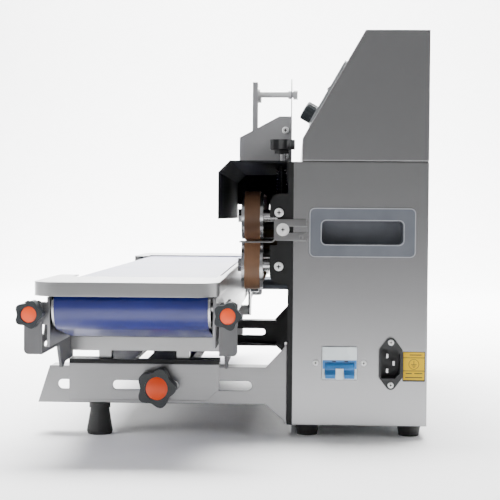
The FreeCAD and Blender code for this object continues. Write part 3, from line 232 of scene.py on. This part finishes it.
GRAINED = {
    "matte_coat": ("matte_black_coat", "101113", "18191B", 0.75, 0.6, 0.3),
    "black_coat": ("black_powder_coat", "090A0B", "121314", 0.5, 0.6, 0.25),
    "reel_coat": ("light_gray_powder_coat", "8E8E90", "98989A", 0.5, 0.6, 0.2),
    "gray_coat": ("gray_powder_coat", "545456", "5F5F61", 0.5, 0.6, 0.2),
    "panel_film": ("silver_control_film", "85878A", "909295", 0.42, 0.5, 0.12),
    "black_abs": ("moulded_black_abs", "101214", "1B1E21", 0.40, 0.4, 0.3),
    "black_nylon": ("black_nylon_knob", "14181B", "242A2E", 0.38, 0.5, 0.3),
    "orange_abs": ("moulded_orange_abs", "E04202", "EC4E0A", 0.42, 0.4, 0.12),
    "cup_abs": ("blue_gray_abs", "53575F", "5F636B", 0.48, 0.5, 0.25),
    "white_abs": ("white_polycarbonate", "DDE6EA", "EAF0F2", 0.28, 0.4, 0.08),
    "blue_abs": ("blue_polycarbonate", "2E6FB0", "3C82C4", 0.30, 0.4, 0.1),
    "foot_rubber": ("black_rubber", "151515", "232323", 0.62, 0.8, 0.45),
    "wheel_rubber": ("black_silicone_tyre", "1A1A1A", "2A2A29", 0.55, 0.6, 0.3),
    "board_green": ("green_solder_mask", "0E4A2B", "14603A", 0.35, 1.2, 0.15),
    "yellow_film": ("yellow_label_film", "CCA600", "D6B004", 0.5, 0.5, 0.05),
    "ink": ("black_label_ink", "141414", "1E1E1E", 0.45, 0.5, 0.05),
    "display_black": ("smoked_display_window", "08080A", "0E0E11", 0.12, 0.5, 0.02),
    "white_print": ("white_screen_print", "D8DADC", "E6E8EA", 0.5, 0.3, 0.05),
    # Lighter gray for the handle rims: a painted highlight on the frame's rounded edges.
    "rim_highlight": ("painted_rim_highlight", "96989E", "A2A4AA", 0.35, 0.5, 0.1),
    "gray_key": ("gray_silicone_key", "9DA3A8", "AEB4B8", 0.5, 0.4, 0.15),
}
for key, values in GRAINED.items():
    materials[key] = grained(*values)
DULLED = {"matte_coat": 0.15, "black_coat": 0.3, "yellow_film": 0.2}
for key, level in DULLED.items():
    materials[key].node_tree.nodes["Principled BSDF"].inputs["Specular IOR Level"].default_value = level
print("grained finishes:", len(GRAINED))

# %% [markdown]
# ## Turned and cast metals
# Rollers, screws and wheels are turned on a lathe, so their light bands are crisp. Aluminium
# blocks are milled and a little duller. Brass bearings are warm. A metal keeps the default IOR,
# because its colour already says how it reflects. The last number of a row is how metallic it
# is. Nickel plate on the screws is 0.7, so that a head seen face on stays light.

# %% Make the plain metals
METALS = {
    "turned_steel": ("turned_steel", "B9B9BB", "CFCFD0", 0.24, 0.5, 0.1, 1.0),
    "bright_nickel": ("bright_nickel_plate", "E2E2E2", "F0F0F0", 0.5, 0.5, 0.08, 0.7),
    "dark_shaft": ("oiled_dark_steel", "2B2D31", "3C3F44", 0.34, 0.5, 0.15, 1.0),
    "milled_aluminium": ("milled_aluminium", "A9ABAE", "C4C6C8", 0.36, 0.7, 0.2, 1.0),
    "spun_aluminium": ("spun_aluminium", "B4B6B9", "CDCFD1", 0.28, 0.4, 0.12, 1.0),
    # Heater blocks: a brass tone, darkened to paint the shade they sit in between the wheels and the bracket.
    "heater_brass_shade": ("brass_darkened_as_shade", "2E2920", "453B2A", 0.45, 0.5, 0.2, 1.0),
    "bearing_brass": ("bearing_brass", "A98A4B", "C2A25C", 0.32, 0.5, 0.15, 1.0),
    "zinc_sheet": ("zinc_plated_sheet", "9EA1A4", "B5B8BA", 0.4, 3.0, 0.08, 1.0),
}
for key, values in METALS.items():
    materials[key] = grained(*values)
print("metals:", sorted(METALS))

# %% [markdown]
# ## The blue conveyor belt
# The belt is blue PVC on cloth. Its top is glossy enough to look almost white at a low angle,
# which comes from a clear coat over the blue. The sealing bands are PTFE on glass cloth, brown
# and duller. Their threads are about 1.2 and 1.0 mm apart. A wave texture multiplies its place
# by 20 and takes the sine of that, so dividing its scale by 20 draws one thread 2 pi times as
# wide as the size given. That is coarser than real, and it keeps the weave calm from afar.

# %% Make the belt and the bands
WAVE_FACTOR = 20
WEAR_MM = 60


def woven(name, dark, light, rough, thread_mm, bump, coat, coat_rough, ior=1.5):
    """Coated cloth whose threads print through the coating."""
    made, tree, body = finish_of(name, Coat_Weight=coat, Coat_Roughness=coat_rough, IOR=ior)
    place = add(tree, "TexCoord")
    waves = []
    for direction in ("X", "Y"):
        wave = add(tree, "TexWave", {"bands_direction": direction}, Vector=place.outputs["Object"],
                   Scale=per_mm(thread_mm) / WAVE_FACTOR, Distortion=0.4, Detail=1.0)
        waves.append(wave.outputs["Fac"])
    weave = add(tree, "Math", {"operation": "MULTIPLY"}, _0=waves[0], _1=waves[1])
    drift = add(tree, "TexNoise", None, Vector=place.outputs["Object"], Scale=per_mm(WEAR_MM), Detail=4.0)
    tree.links.new(ramp(tree, drift.outputs["Fac"], dark, light), body.inputs["Base Color"])
    tree.links.new(spread(tree, drift.outputs["Fac"], rough - 0.05, rough + 0.07), body.inputs["Roughness"])
    relief = add(tree, "Bump", None, Strength=bump, Distance=0.1 * MM, Height=weave.outputs["Value"])
    tree.links.new(relief.outputs["Normal"], body.inputs["Normal"])
    return made


materials["blue_belt"] = woven("blue_pvc_belt", "10195A", "18226C", 0.35, 1.2, 0.08, 0.3, 0.15)
materials["brown_band"] = woven("brown_ptfe_glass_cloth", "7A5A42", "906C52", 0.45, 1.0, 0.35, 0.2, 0.3, 1.38)
print("cloths made")

# %% [markdown]
# ## Give each part its finish
# A part's place and shape come from the frame. Only its material slot changes here, so the
# metal keeps its true size.

# %% Assign the finishes
FINISH = {
    "housing_steel": ("housing_shell", "control_head"),
    "arm_steel": ("arm_near", "slide_channels", "guide_bracket"),
    "guard_steel": ("end_guards", "tie_bars"),
    "bed_steel": ("conveyor_bed",),
    "black_coat": ("front_plate", "end_brackets", "arm_far", "carriage_beam"),
    "matte_coat": ("guard_cover",),
    "gray_coat": ("side_brackets",),
    "reel_coat": ("reel_plate",),
    "panel_film": ("control_panel",),
    "black_abs": ("temperature_controller", "switch_bodies", "rocker_power", "rocker_heat", "power_inlet",
                  "fan_frame", "fan_rotor", "pressure_knob"),
    "black_nylon": ("speed_knob", "arm_knob_near", "arm_knob_far", "lift_knob_near_left",
                    "lift_knob_near_right", "lift_knob_far_left", "lift_knob_far_right"),
    "cup_abs": ("handle_cups",),
    "gray_key": ("key_up", "key_down"),
    "white_abs": ("breaker_body",),
    "blue_abs": ("breaker_toggle",),
    "foot_rubber": ("rubber_feet",),
    "wheel_rubber": ("press_wheel_upper", "press_wheel_lower"),
    "bright_nickel": ("screws", "reel_shaft"),
    "turned_steel": ("upper_wheel_near", "upper_wheel_far", "lower_wheel_near", "lower_wheel_far",
                     "end_roller_near", "end_roller_far", "tension_roller", "inlet_pins"),
    "dark_shaft": ("drive_roller",),
    "milled_aluminium": ("cooling_blocks", "gear_motor"),
    "heater_brass_shade": ("heater_blocks",),
    "bearing_brass": ("wheel_bearings",),
    "zinc_sheet": ("base_plate",),
    "board_green": ("control_board",),
    "brown_band": ("upper_seal_band", "lower_seal_band"),
    "blue_belt": ("conveyor_belt",),
}
for key, names in FINISH.items():
    for name in names:
        nodes[name].data.materials.clear()
        nodes[name].data.materials.append(materials[key])
print("parts finished:", sum(len(names) for names in FINISH.values()))

# %% [markdown]
# ## Small trim
# The orange caps, the digits, the marks and the label are too small to be parts of their own, so
# they are built here as meshes. One function puts a mesh in the scene on a moving body, so that
# the trim goes where its part goes.

# %% Put a mesh in the scene
def finished(name, mesh, key, body, smooth=30):
    """Put a mesh in the scene with its finish, on a body. Edges sharper than `smooth` degrees stay crisp."""
    made = bpy.data.objects.new(name, mesh)
    bpy.context.collection.objects.link(made)
    mesh.materials.clear()
    mesh.materials.append(materials[key])
    mesh.shade_smooth()
    mesh.set_sharp_from_angle(angle=math.radians(smooth))
    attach(made, body)
    return made


def mesh_of(name, points, faces):
    """A mesh from points in millimetres."""
    mesh = bpy.data.meshes.new(name)
    mesh.from_pydata([Vector(p) * MM for p in points], [], faces)
    mesh.update()
    return mesh


print("scene helpers ready")

# %% [markdown]
# ## Two ways to make a solid
# One function turns a profile about an axis, as a lathe does, and another raises a flat outline
# to a thickness, as a punch does. A modifier could do either, but points and faces built here
# show how a mesh is put together. Both work in millimetres, in the frame of the whole machine.

# %% Turned and flat solids
def turned(profile, centre, axis, steps=64):
    """Points and faces of a profile of (radius, height) pairs turned about an axis, ends closed."""
    axis = Vector(axis).normalized()
    across = axis.cross(Vector((0, 0, 1)) if abs(axis.z) < 0.9 else Vector((1, 0, 0))).normalized()
    over = axis.cross(across)
    centre = Vector(centre)
    points = []
    for radius, height in profile:
        for step in range(steps):
            angle = 2 * math.pi * step / steps
            points.append(centre + axis * height + (across * math.cos(angle) + over * math.sin(angle)) * radius)
    faces = []
    for ring in range(len(profile) - 1):
        for step in range(steps):
            after = (step + 1) % steps
            low = ring * steps
            faces.append((low + step, low + after, low + steps + after, low + steps + step))
    faces.append(tuple(range(steps))[::-1])
    faces.append(tuple((len(profile) - 1) * steps + step for step in range(steps)))
    return points, faces


def plate(outline, origin, along, across, thick):
    """Points and faces of a flat outline of (u, v) pairs, raised by a thickness along u x v."""
    origin, along, across = Vector(origin), Vector(along).normalized(), Vector(across).normalized()
    rise = along.cross(across) * thick
    flat = [origin + along * u + across * v for u, v in outline]
    count = len(flat)
    faces = [tuple(range(count))[::-1], tuple(range(count, 2 * count))]
    for i in range(count):
        j = (i + 1) % count
        faces.append((i, j, count + j, count + i))
    return flat + [p + rise for p in flat], faces


def facing_end(outline, level, thick):
    """A plate on the end panel: the outline is (y, z) and it faces +x."""
    return plate(outline, (level, 0, 0), (0, 1, 0), (0, 0, 1), thick)


def merged(parts):
    """Several (points, faces) pairs as one pair."""
    points, faces = [], []
    for some_points, some_faces in parts:
        start = len(points)
        points += some_points
        faces += [tuple(i + start for i in face) for face in some_faces]
    return points, faces


print("solid helpers ready")

# %% Flat outlines
def box_outline(u, v, width, height, corner=0.0, steps=5):
    """A rectangle centred on (u, v), with rounded corners."""
    if corner == 0:
        return [(u - width / 2, v - height / 2), (u + width / 2, v - height / 2),
                (u + width / 2, v + height / 2), (u - width / 2, v + height / 2)]
    outline = []
    for turn, (cu, cv) in enumerate(((1, 1), (-1, 1), (-1, -1), (1, -1))):
        mid_u, mid_v = u + cu * (width / 2 - corner), v + cv * (height / 2 - corner)
        for step in range(steps + 1):
            angle = math.pi / 2 * (turn + step / steps)
            outline.append((mid_u + corner * math.cos(angle), mid_v + corner * math.sin(angle)))
    return outline


def ring_between(outer, inner):
    """The strip between two outlines that have equally many points, as four-sided pieces."""
    pieces = []
    for i in range(len(outer)):
        k = (i + 1) % len(outer)
        pieces.append([outer[i], outer[k], inner[k], inner[i]])
    return pieces


def round_outline(u, v, radius, steps):
    """A circle about (u, v)."""
    angles = [2 * math.pi * i / steps for i in range(steps)]
    return [(u + radius * math.cos(angle), v + radius * math.sin(angle)) for angle in angles]


print("outline helpers ready")

# %% [markdown]
# ## Orange caps on the hand knobs
# A domed orange cap snaps into the middle of each black star knob and hides the screw. The dome
# is a shallow arc turned about the knob's axis, so it is a true surface of revolution. Each cap
# takes its place from its knob's own box, and sits 1.2 mm below the knob's face.

# %% Make the caps
def domed(radius, wall, rise):
    """The profile of a cap: a short wall, then a dome."""
    ball = (radius ** 2 + rise ** 2) / (2 * rise)
    profile = [(radius, 0), (radius, wall)]
    for step in range(1, 9):
        height = rise * step / 8
        inside = ball ** 2 - (ball - rise + height) ** 2
        profile.append((max(inside, 0.01) ** 0.5, wall + height))
    return profile


ARM_CAP = {"radius": 10.7, "wall": 0.5, "rise": 2.3}
LIFT_CAP = {"radius": 6.8, "wall": 0.3, "rise": 0.85}
CAP_SEAT, CLEAR = 1.2, 0.02
for end, sign in (("near", 1), ("far", -1)):
    for body, cap in (("arm_knob_" + end, ARM_CAP), (f"lift_knob_{end}_left", LIFT_CAP),
                      (f"lift_knob_{end}_right", LIFT_CAP)):
        low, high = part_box(body)
        face = (high.x if sign > 0 else low.x) / MM
        seat = (face - sign * (CAP_SEAT - CLEAR), (low.y + high.y) / 2 / MM, (low.z + high.z) / 2 / MM)
        finished("cap_" + body, mesh_of("cap", *turned(domed(**cap), seat, (sign, 0, 0))), "orange_abs", body)
print("caps: 6, from", 2 * LIFT_CAP["radius"], "to", 2 * ARM_CAP["radius"], "mm across")

# %% [markdown]
# ## Painted seam shade, stem and painted recess shade
# The head sits on the box, and a black strip laid in the seam between them is painted shade that reads as a
# thin dark line. The pressure knob has a bright steel sleeve below it. A dark cross on the floor of each cross
# recess
# is painted shade: each screw is found as a loose part of the screws' own mesh.

# %% Make the seam and the sleeve
# This black strip in the seam is painted shade, drawn as a thin dark line.
SEAM_SHADE_LENGTH, SEAM_SHADE_FRONT, SEAM_SHADE_BACK = 568.8, 66.2, 183.0
SEAM_SHADE_LOW, SEAM_SHADE_THICK = 259.02, 0.96
seam_shade_plate = plate(box_outline(0, (SEAM_SHADE_FRONT + SEAM_SHADE_BACK) / 2, SEAM_SHADE_LENGTH, SEAM_SHADE_BACK - SEAM_SHADE_FRONT),
               (0, 0, SEAM_SHADE_LOW), (1, 0, 0), (0, 1, 0), SEAM_SHADE_THICK)
finished("head_seam_painted_shade", mesh_of("seam_shade_plate", *seam_shade_plate), "foot_rubber", "base")

low, high = (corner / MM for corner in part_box("pressure_knob"))
stem_x, stem_y = (low.x + high.x) / 2, (low.y + high.y) / 2
SLEEVE_IN, SLEEVE_OUT, SLEEVE_LONG, SLEEVE_LOW = 2.56, 3.3, 11.0, 260.4
sleeve = [(SLEEVE_IN, 0), (SLEEVE_OUT, 0), (SLEEVE_OUT, SLEEVE_LONG), (SLEEVE_IN, SLEEVE_LONG)]
finished("stem_sleeve", mesh_of("sleeve", *turned(sleeve, (stem_x, stem_y, SLEEVE_LOW), (0, 0, 1), 32)),
         "turned_steel", "pressure_knob")
print("seam_shade_plate", SEAM_SHADE_LENGTH, "mm long, sleeve", SLEEVE_LONG, "mm")


# %% Paint shade in the screw recesses
def loose_parts(mesh):
    """The corner points of each loose part of a mesh, in millimetres."""
    parent = list(range(len(mesh.vertices)))

    def root(i):
        while parent[i] != i:
            parent[i] = parent[parent[i]]
            i = parent[i]
        return i

    seen = {}
    for vertex in mesh.vertices:
        key = tuple(round(c, 6) for c in vertex.co)
        parent[root(vertex.index)] = root(seen.setdefault(key, vertex.index))
    for edge in mesh.edges:
        parent[root(edge.vertices[0])] = root(edge.vertices[1])
    groups = {}
    for vertex in mesh.vertices:
        groups.setdefault(root(vertex.index), []).append(vertex.co / MM)
    return list(groups.values())


# Each dark cross is painted shade on the floor of a screw's cross recess.
RECESS_DEEP, ARM_SHARE, CROSS_SIZE = 0.6, 0.3, 1.1
shade_crosses = []
for points in loose_parts(nodes["screws"].data):
    top = max(p.x for p in points)
    rim = [p for p in points if p.x > top - 0.05]
    y = (min(p.y for p in rim) + max(p.y for p in rim)) / 2
    z = (min(p.z for p in rim) + max(p.z for p in rim)) / 2
    long = (max(p.y for p in rim) - y) * CROSS_SIZE
    for wide, high in ((long, long * ARM_SHARE), (long * ARM_SHARE, long)):
        shade_crosses.append(facing_end(box_outline(y, z, wide, high), top - RECESS_DEEP, 0.05))
finished("screw_recess_painted_shade", mesh_of("shade_crosses", *merged(shade_crosses)), "ink", "base")
print("recesses:", len(shade_crosses) // 2)

# %% [markdown]
# ## The spring under the pressure knob
# The spring is a real helix here, because a swept wire is quick to make as a curve with round
# bevel. The frame holds it as a stack of rings, which a physics engine finds easier. The curve
# becomes a mesh so that it can stand in for those rings.

# %% Wind the spring
SPRING_TURNS, SPRING_R, WIRE_R = 8.5, 4.8 * MM, 0.6 * MM
SPRING_STEPS = 200
low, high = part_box("press_spring")
spring_path = bpy.data.curves.new("press_spring_path", "CURVE")
spring_path.dimensions = "3D"
spring_path.bevel_depth = WIRE_R
spring_path.bevel_resolution = 3
spring_path.use_fill_caps = True
wire = spring_path.splines.new("POLY")
wire.points.add(SPRING_STEPS)
middle = (low + high) / 2
for step in range(SPRING_STEPS + 1):
    share = step / SPRING_STEPS
    angle = 2 * math.pi * SPRING_TURNS * share
    height = low.z + WIRE_R + (high.z - low.z - 2 * WIRE_R) * share
    wire.points[step].co = (middle.x + SPRING_R * math.cos(angle),
                            middle.y + SPRING_R * math.sin(angle), height, 1)
path_object = bpy.data.objects.new("press_spring_path", spring_path)
bpy.context.collection.objects.link(path_object)
bpy.context.view_layer.update()
spring_mesh = bpy.data.meshes.new_from_object(path_object)
bpy.data.objects.remove(path_object)
spring = finished("coil_spring", spring_mesh, "dark_shaft", "base", smooth=60)
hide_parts("press_spring")
print("spring:", len(spring_mesh.vertices), "points")

# %% [markdown]
# ## Trim on the end panel
# The circuit breaker has a blue strip with two dark test slots. The handle's frame has a raised
# edge outside and one round the hole, in a lighter gray that is a painted highlight. The earth label is a
# printed film.
# All are flat plates a fraction of a millimetre thick, laid in steps, so that each colour is its
# own solid with no picture to load.

# %% Dress the breaker and the handle
END_FACE = 285.0
FRAME_FACE = END_FACE + 2.0
BREAKER_FACE = END_FACE + 2.5
BREAKER_Y, STRIP_Z = 101.8, 72.65
blues = [box_outline(BREAKER_Y, STRIP_Z, 31.6, 1.9)]
for side in (-14.9, 14.9):
    blues.append(box_outline(BREAKER_Y + side, 68.6, 1.8, 6.2))
blue_plates = [facing_end(one, BREAKER_FACE + 0.01, 0.25) for one in blues]
finished("breaker_strip", mesh_of("strip", *merged(blue_plates)), "blue_abs", "base")
slots = [box_outline(BREAKER_Y + side, STRIP_Z - 0.05, 3.8, 1.2, 0.5) for side in (-5.3, 6.1)]
slot_plates = [facing_end(one, BREAKER_FACE + 0.27, 0.05) for one in slots]
finished("breaker_slots", mesh_of("slots", *merged(slot_plates)), "ink", "base")

HANDLE_Y, HANDLE_Z = 122.1, 193.0
RIM_WIDE, RIM_CORNER = 0.8, 5.0
# The rims stand 0.35 mm proud, and their lighter gray is a painted highlight.
rim_highlights = []
for wide, high in ((99.0, 46.0), (78.0, 24.0)):
    outer = box_outline(HANDLE_Y, HANDLE_Z, wide, high, RIM_CORNER)
    inner = box_outline(HANDLE_Y, HANDLE_Z, wide - 2 * RIM_WIDE, high - 2 * RIM_WIDE, RIM_CORNER - RIM_WIDE)
    rim_highlights += [facing_end(piece, FRAME_FACE + 0.01, 0.35) for piece in ring_between(outer, inner)]
finished("handle_rim_highlights", mesh_of("rim_highlights", *merged(rim_highlights)), "rim_highlight", "base")
print("breaker plates:", len(blues) + len(slots), "handle rims: 2")

# %% Print the earth label
LABEL_Y, LABEL_Z, LABEL_W, LABEL_H = 171.2, 68.0, 21.0, 28.0
backing = box_outline(LABEL_Y, LABEL_Z, LABEL_W, LABEL_H, 0.6)
finished("earth_label_border", mesh_of("border", *facing_end(backing, END_FACE + 0.02, 0.1)), "ink", "base")
fields = []
for middle, height in ((11.0, 4.6), (2.2, 11.6), (-8.4, 8.2)):
    field = box_outline(LABEL_Y, LABEL_Z + middle, LABEL_W - 1.4, height)
    fields.append(facing_end(field, END_FACE + 0.14, 0.05))
finished("earth_label_fields", mesh_of("fields", *merged(fields)), "yellow_film", "base")


SIGN_Y, SIGN_Z = LABEL_Y, LABEL_Z + 2.2
marks = ring_between(round_outline(SIGN_Y, SIGN_Z, 4.9, 48), round_outline(SIGN_Y, SIGN_Z, 4.4, 48))
marks.append(box_outline(SIGN_Y, SIGN_Z + 1.6, 0.6, 3.6))
for drop, length in ((-0.3, 5.2), (-1.5, 3.4), (-2.7, 1.6)):
    marks.append(box_outline(SIGN_Y, SIGN_Z + drop, length, 0.6))
for across, level, length in ((1.6, 11.0, 11.0), (-4.6, -6.4, 6.0), (4.2, -6.4, 7.6), (0.0, -10.2, 16.0)):
    marks.append(box_outline(SIGN_Y + across, LABEL_Z + level, length, 0.9))
mark_plates = [facing_end(one, END_FACE + 0.2, 0.03) for one in marks]
finished("earth_label_marks", mesh_of("marks", *merged(mark_plates)), "ink", "base")
print("label", LABEL_W, "x", LABEL_H, "mm, with", len(marks), "printed pieces")

# %% [markdown]
# ## The lit display
# The display shows seven-segment digits, red for the measured heat and green for the set heat.
# Each segment is a small glowing plate, named by its place, so a digit is a list of names. The
# panel leans back, so one function carries flat points onto the slope.

# %% The slope and the digits
SLANT = math.radians(60.133)
SLOPE_START = Vector((0, 65.5, 281.0))
UP_SLOPE = Vector((0, math.cos(SLANT), math.sin(SLANT)))
OFF_SLOPE = Vector((0, -math.sin(SLANT), math.cos(SLANT)))
PANEL_FACE = 4.2
WINDOW_OUT = PANEL_FACE + 1.71
DIGIT_OUT = PANEL_FACE + 1.75
DIGIT_STEP = 7.5


def on_panel(outline, out, thick):
    """A plate on the sloped panel: the outline is (x, distance up the slope)."""
    return plate(outline, SLOPE_START + OFF_SLOPE * out, (1, 0, 0), UP_SLOPE, thick)


SEGMENTS = {"top": (0, 4, 3.2, 0.9), "middle": (0, 0, 3.2, 0.9), "bottom": (0, -4, 3.2, 0.9),
            "upper_left": (-2, 2, 0.9, 3.2), "upper_right": (2, 2, 0.9, 3.2),
            "lower_left": (-2, -2, 0.9, 3.2), "lower_right": (2, -2, 0.9, 3.2)}
DIGITS = {"0": ("top", "bottom", "upper_left", "upper_right", "lower_left", "lower_right"),
          "1": ("upper_right", "lower_right"),
          "5": ("top", "middle", "bottom", "upper_left", "lower_right"),
          "8": tuple(SEGMENTS)}


def number(text, middle, level, scale):
    """The lit segments of a number, centred on (middle, level)."""
    shapes = []
    for order, digit in enumerate(text):
        start = middle + (order - (len(text) - 1) / 2) * DIGIT_STEP * scale
        for part in DIGITS[digit]:
            u, v, wide, high = SEGMENTS[part]
            bar = box_outline(start + u * scale, level + v * scale, wide * scale, high * scale)
            shapes.append(on_panel(bar, DIGIT_OUT, 0.1))
    return merged(shapes)


print("digits:", sorted(DIGITS))


# %% Light the display
SPOT_MM = 1.0


def glowing(name, colour, strength):
    """A lit display segment, whose glow drifts a little from spot to spot."""
    made, tree, body = finish_of(name, Roughness=0.3)
    place = add(tree, "TexCoord")
    spots = add(tree, "TexNoise", None, Vector=place.outputs["Object"], Scale=per_mm(SPOT_MM), Detail=1.0)
    tree.links.new(ramp(tree, spots.outputs["Fac"], colour, colour), body.inputs["Base Color"])
    body.inputs["Emission Color"].default_value = linear(colour)
    glow = spread(tree, spots.outputs["Fac"], strength * 0.8, strength)
    tree.links.new(glow, body.inputs["Emission Strength"])
    return made


materials["red_led"] = glowing("red_display_light", "F03020", 2.0)
materials["green_led"] = glowing("green_display_light", "40D060", 1.5)
low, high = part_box("temperature_controller")
display = (low.x + high.x) / 2 / MM
glass = on_panel(box_outline(display, 62.5, 49.6, 22.6), WINDOW_OUT, 0.02)
finished("display_glass", mesh_of("glass", *glass), "display_black", "base")
finished("digits_measured", mesh_of("digits", *number("158", display, 68.0, 1.05)), "red_led", "base")
finished("digits_set", mesh_of("digits", *number("150", display, 56.6, 0.85)), "green_led", "base")
print("display window in the middle of the controller, at x", round(display, 1))

# %% [markdown]
# ## Print on the control panel
# The speed dial gets eleven ticks over 270 degrees, and each rocker a bar and a circle. White
# screen print is a film of ink, so each mark is a plate 0.06 mm thick just off the panel.

# %% Print the panel
DIAL_X, DIAL_UP = 150.0, 34.0
TICKS, TICK_IN, TICK_OUT, TICK_HALF = 11, 11.6, 13.2, 0.3
PRINT_OUT, PRINT_THICK = PANEL_FACE + 0.02, 0.06
printed = []
centre = Vector((DIAL_X, DIAL_UP))
for tick in range(TICKS):
    angle = math.radians(225 - 270 * tick / (TICKS - 1))
    arm = Vector((math.cos(angle), math.sin(angle)))
    across = Vector((-arm.y, arm.x)) * TICK_HALF
    corners = [centre + arm * TICK_IN - across, centre + arm * TICK_OUT - across,
               centre + arm * TICK_OUT + across, centre + arm * TICK_IN + across]
    printed.append(on_panel(corners, PRINT_OUT, PRINT_THICK))
ROCKER_X, BAR_UP, CIRCLE_UP = (50.0, 96.0), 86.5, 60.5
for x in ROCKER_X:
    printed.append(on_panel(box_outline(x, BAR_UP, 0.7, 3.4), PRINT_OUT, PRINT_THICK))
    circle = ring_between(round_outline(x, CIRCLE_UP, 1.8, 24), round_outline(x, CIRCLE_UP, 1.3, 24))
    printed += [on_panel(piece, PRINT_OUT, PRINT_THICK) for piece in circle]
finished("panel_marks", mesh_of("marks", *merged(printed)), "white_print", "base")
print("printed pieces:", len(printed))

# %% [markdown]
# ## The dial's face
# The speed knob has a spun aluminium disc on top with a dark line that points at the ticks. Both
# ride on the knob, so the line turns with it.

# %% Face the dial
KNOB_TOP = PANEL_FACE + 12.6
DISC_THICK = 0.4
dial_face = SLOPE_START + Vector((DIAL_X, 0, 0)) + UP_SLOPE * DIAL_UP + OFF_SLOPE * (KNOB_TOP + 0.01)
disc = [(8.4, 0), (8.4, 0.25), (8.0, DISC_THICK), (0.05, DISC_THICK)]
finished("dial_cap", mesh_of("cap", *turned(disc, dial_face, OFF_SLOPE)), "spun_aluminium", "speed_knob")
pointer = on_panel(box_outline(DIAL_X, DIAL_UP + 5.2, 0.9, 5.0), KNOB_TOP + DISC_THICK + 0.03, 0.05)
finished("dial_pointer", mesh_of("pointer", *pointer), "ink", "speed_knob")
print("dial disc 16.8 mm across")

# %% [markdown]
# ## The floor
# A pale seamless floor curves up behind the machine, as in a studio. One strip of faces follows
# a quarter circle, so there is no corner to catch a shadow.

# %% Build the floor
FLOOR_FRONT, FLOOR_BACK, FLOOR_HALF = 3000.0, -2200.0, 4500.0
CURVE_R, CURVE_STEPS, WALL_TOP = 900.0, 12, 3500.0


def sweep():
    """A floor that curves up into a wall, built as one smooth strip."""
    profile = [(FLOOR_FRONT, 0.0), (FLOOR_BACK, 0.0)]
    for step in range(1, CURVE_STEPS + 1):
        angle = math.radians(90 * step / CURVE_STEPS)
        profile.append((FLOOR_BACK - CURVE_R * math.sin(angle), CURVE_R - CURVE_R * math.cos(angle)))
    profile.append((FLOOR_BACK - CURVE_R, WALL_TOP))
    points = [(x, y, z) for x, z in profile for y in (-FLOOR_HALF, FLOOR_HALF)]
    faces = [(2 * i, 2 * i + 1, 2 * i + 3, 2 * i + 2) for i in range(len(profile) - 1)]
    return points, faces


floor_mesh = mesh_of("backdrop", *sweep())
floor_mesh.materials.append(grained("pale_backdrop_paper", "FAFAFA", "FDFDFD", 0.9, 2.0, 0.02))
floor_mesh.shade_smooth()
floor = bpy.data.objects.new("backdrop", floor_mesh)
bpy.context.collection.objects.link(floor)
floor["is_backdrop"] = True
print("floor:", len(floor_mesh.polygons), "faces")

# %% [markdown]
# ## The light
# A dark metal box looks right only against something brighter. So one large soft light hangs
# over the floor behind the machine, a second washes the wall, and a small one fills the side.
# The world stays dim, since it is what the end panel reflects. Each row is a name, where it is,
# where it points, its size in metres, its watts and its spread in degrees.

# %% Hang the lights
WORLD_STRENGTH = 0.42
LIGHTS = (
    ("overhead_softbox", (-1.1, 0.0, 2.4), (-1.1, 0.0, 0.0), 2.4, 210, 90),
    ("wall_softbox", (-1.2, 0.0, 2.6), (-3.1, 0.0, 0.9), 2.2, 230, 120),
    ("side_softbox", (1.3, -1.9, 1.3), (0.2, -0.1, 0.15), 1.2, 16, 120),
)
for name, at, towards, size, watts, spread_angle in LIGHTS:
    lamp = bpy.data.lights.new(name, "AREA")
    lamp.shape = "SQUARE"
    lamp.size = size
    lamp.energy = watts
    lamp.spread = math.radians(spread_angle)
    holder = bpy.data.objects.new(name, lamp)
    holder.location = at
    holder.rotation_euler = (Vector(towards) - Vector(at)).to_track_quat("-Z", "Y").to_euler()
    bpy.context.collection.objects.link(holder)

world = bpy.data.worlds.new("studio")
world.use_nodes = True
background = world.node_tree.nodes["Background"]
background.inputs["Color"].default_value = linear("FFFFFF")
background.inputs["Strength"].default_value = WORLD_STRENGTH
bpy.context.scene.world = world
print("lights:", len(LIGHTS))

# %% [markdown]
# ## The size before and after
# The looks must not grow the machine. The room taken before and after is kept side by side.

# %% Print the sizes
size = {"cad": [list(map(float, corner)) for corner in cad_box],
        "looks": [list(map(float, corner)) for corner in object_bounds()]}
print("CAD box", size["cad"])
print("looks box", size["looks"])
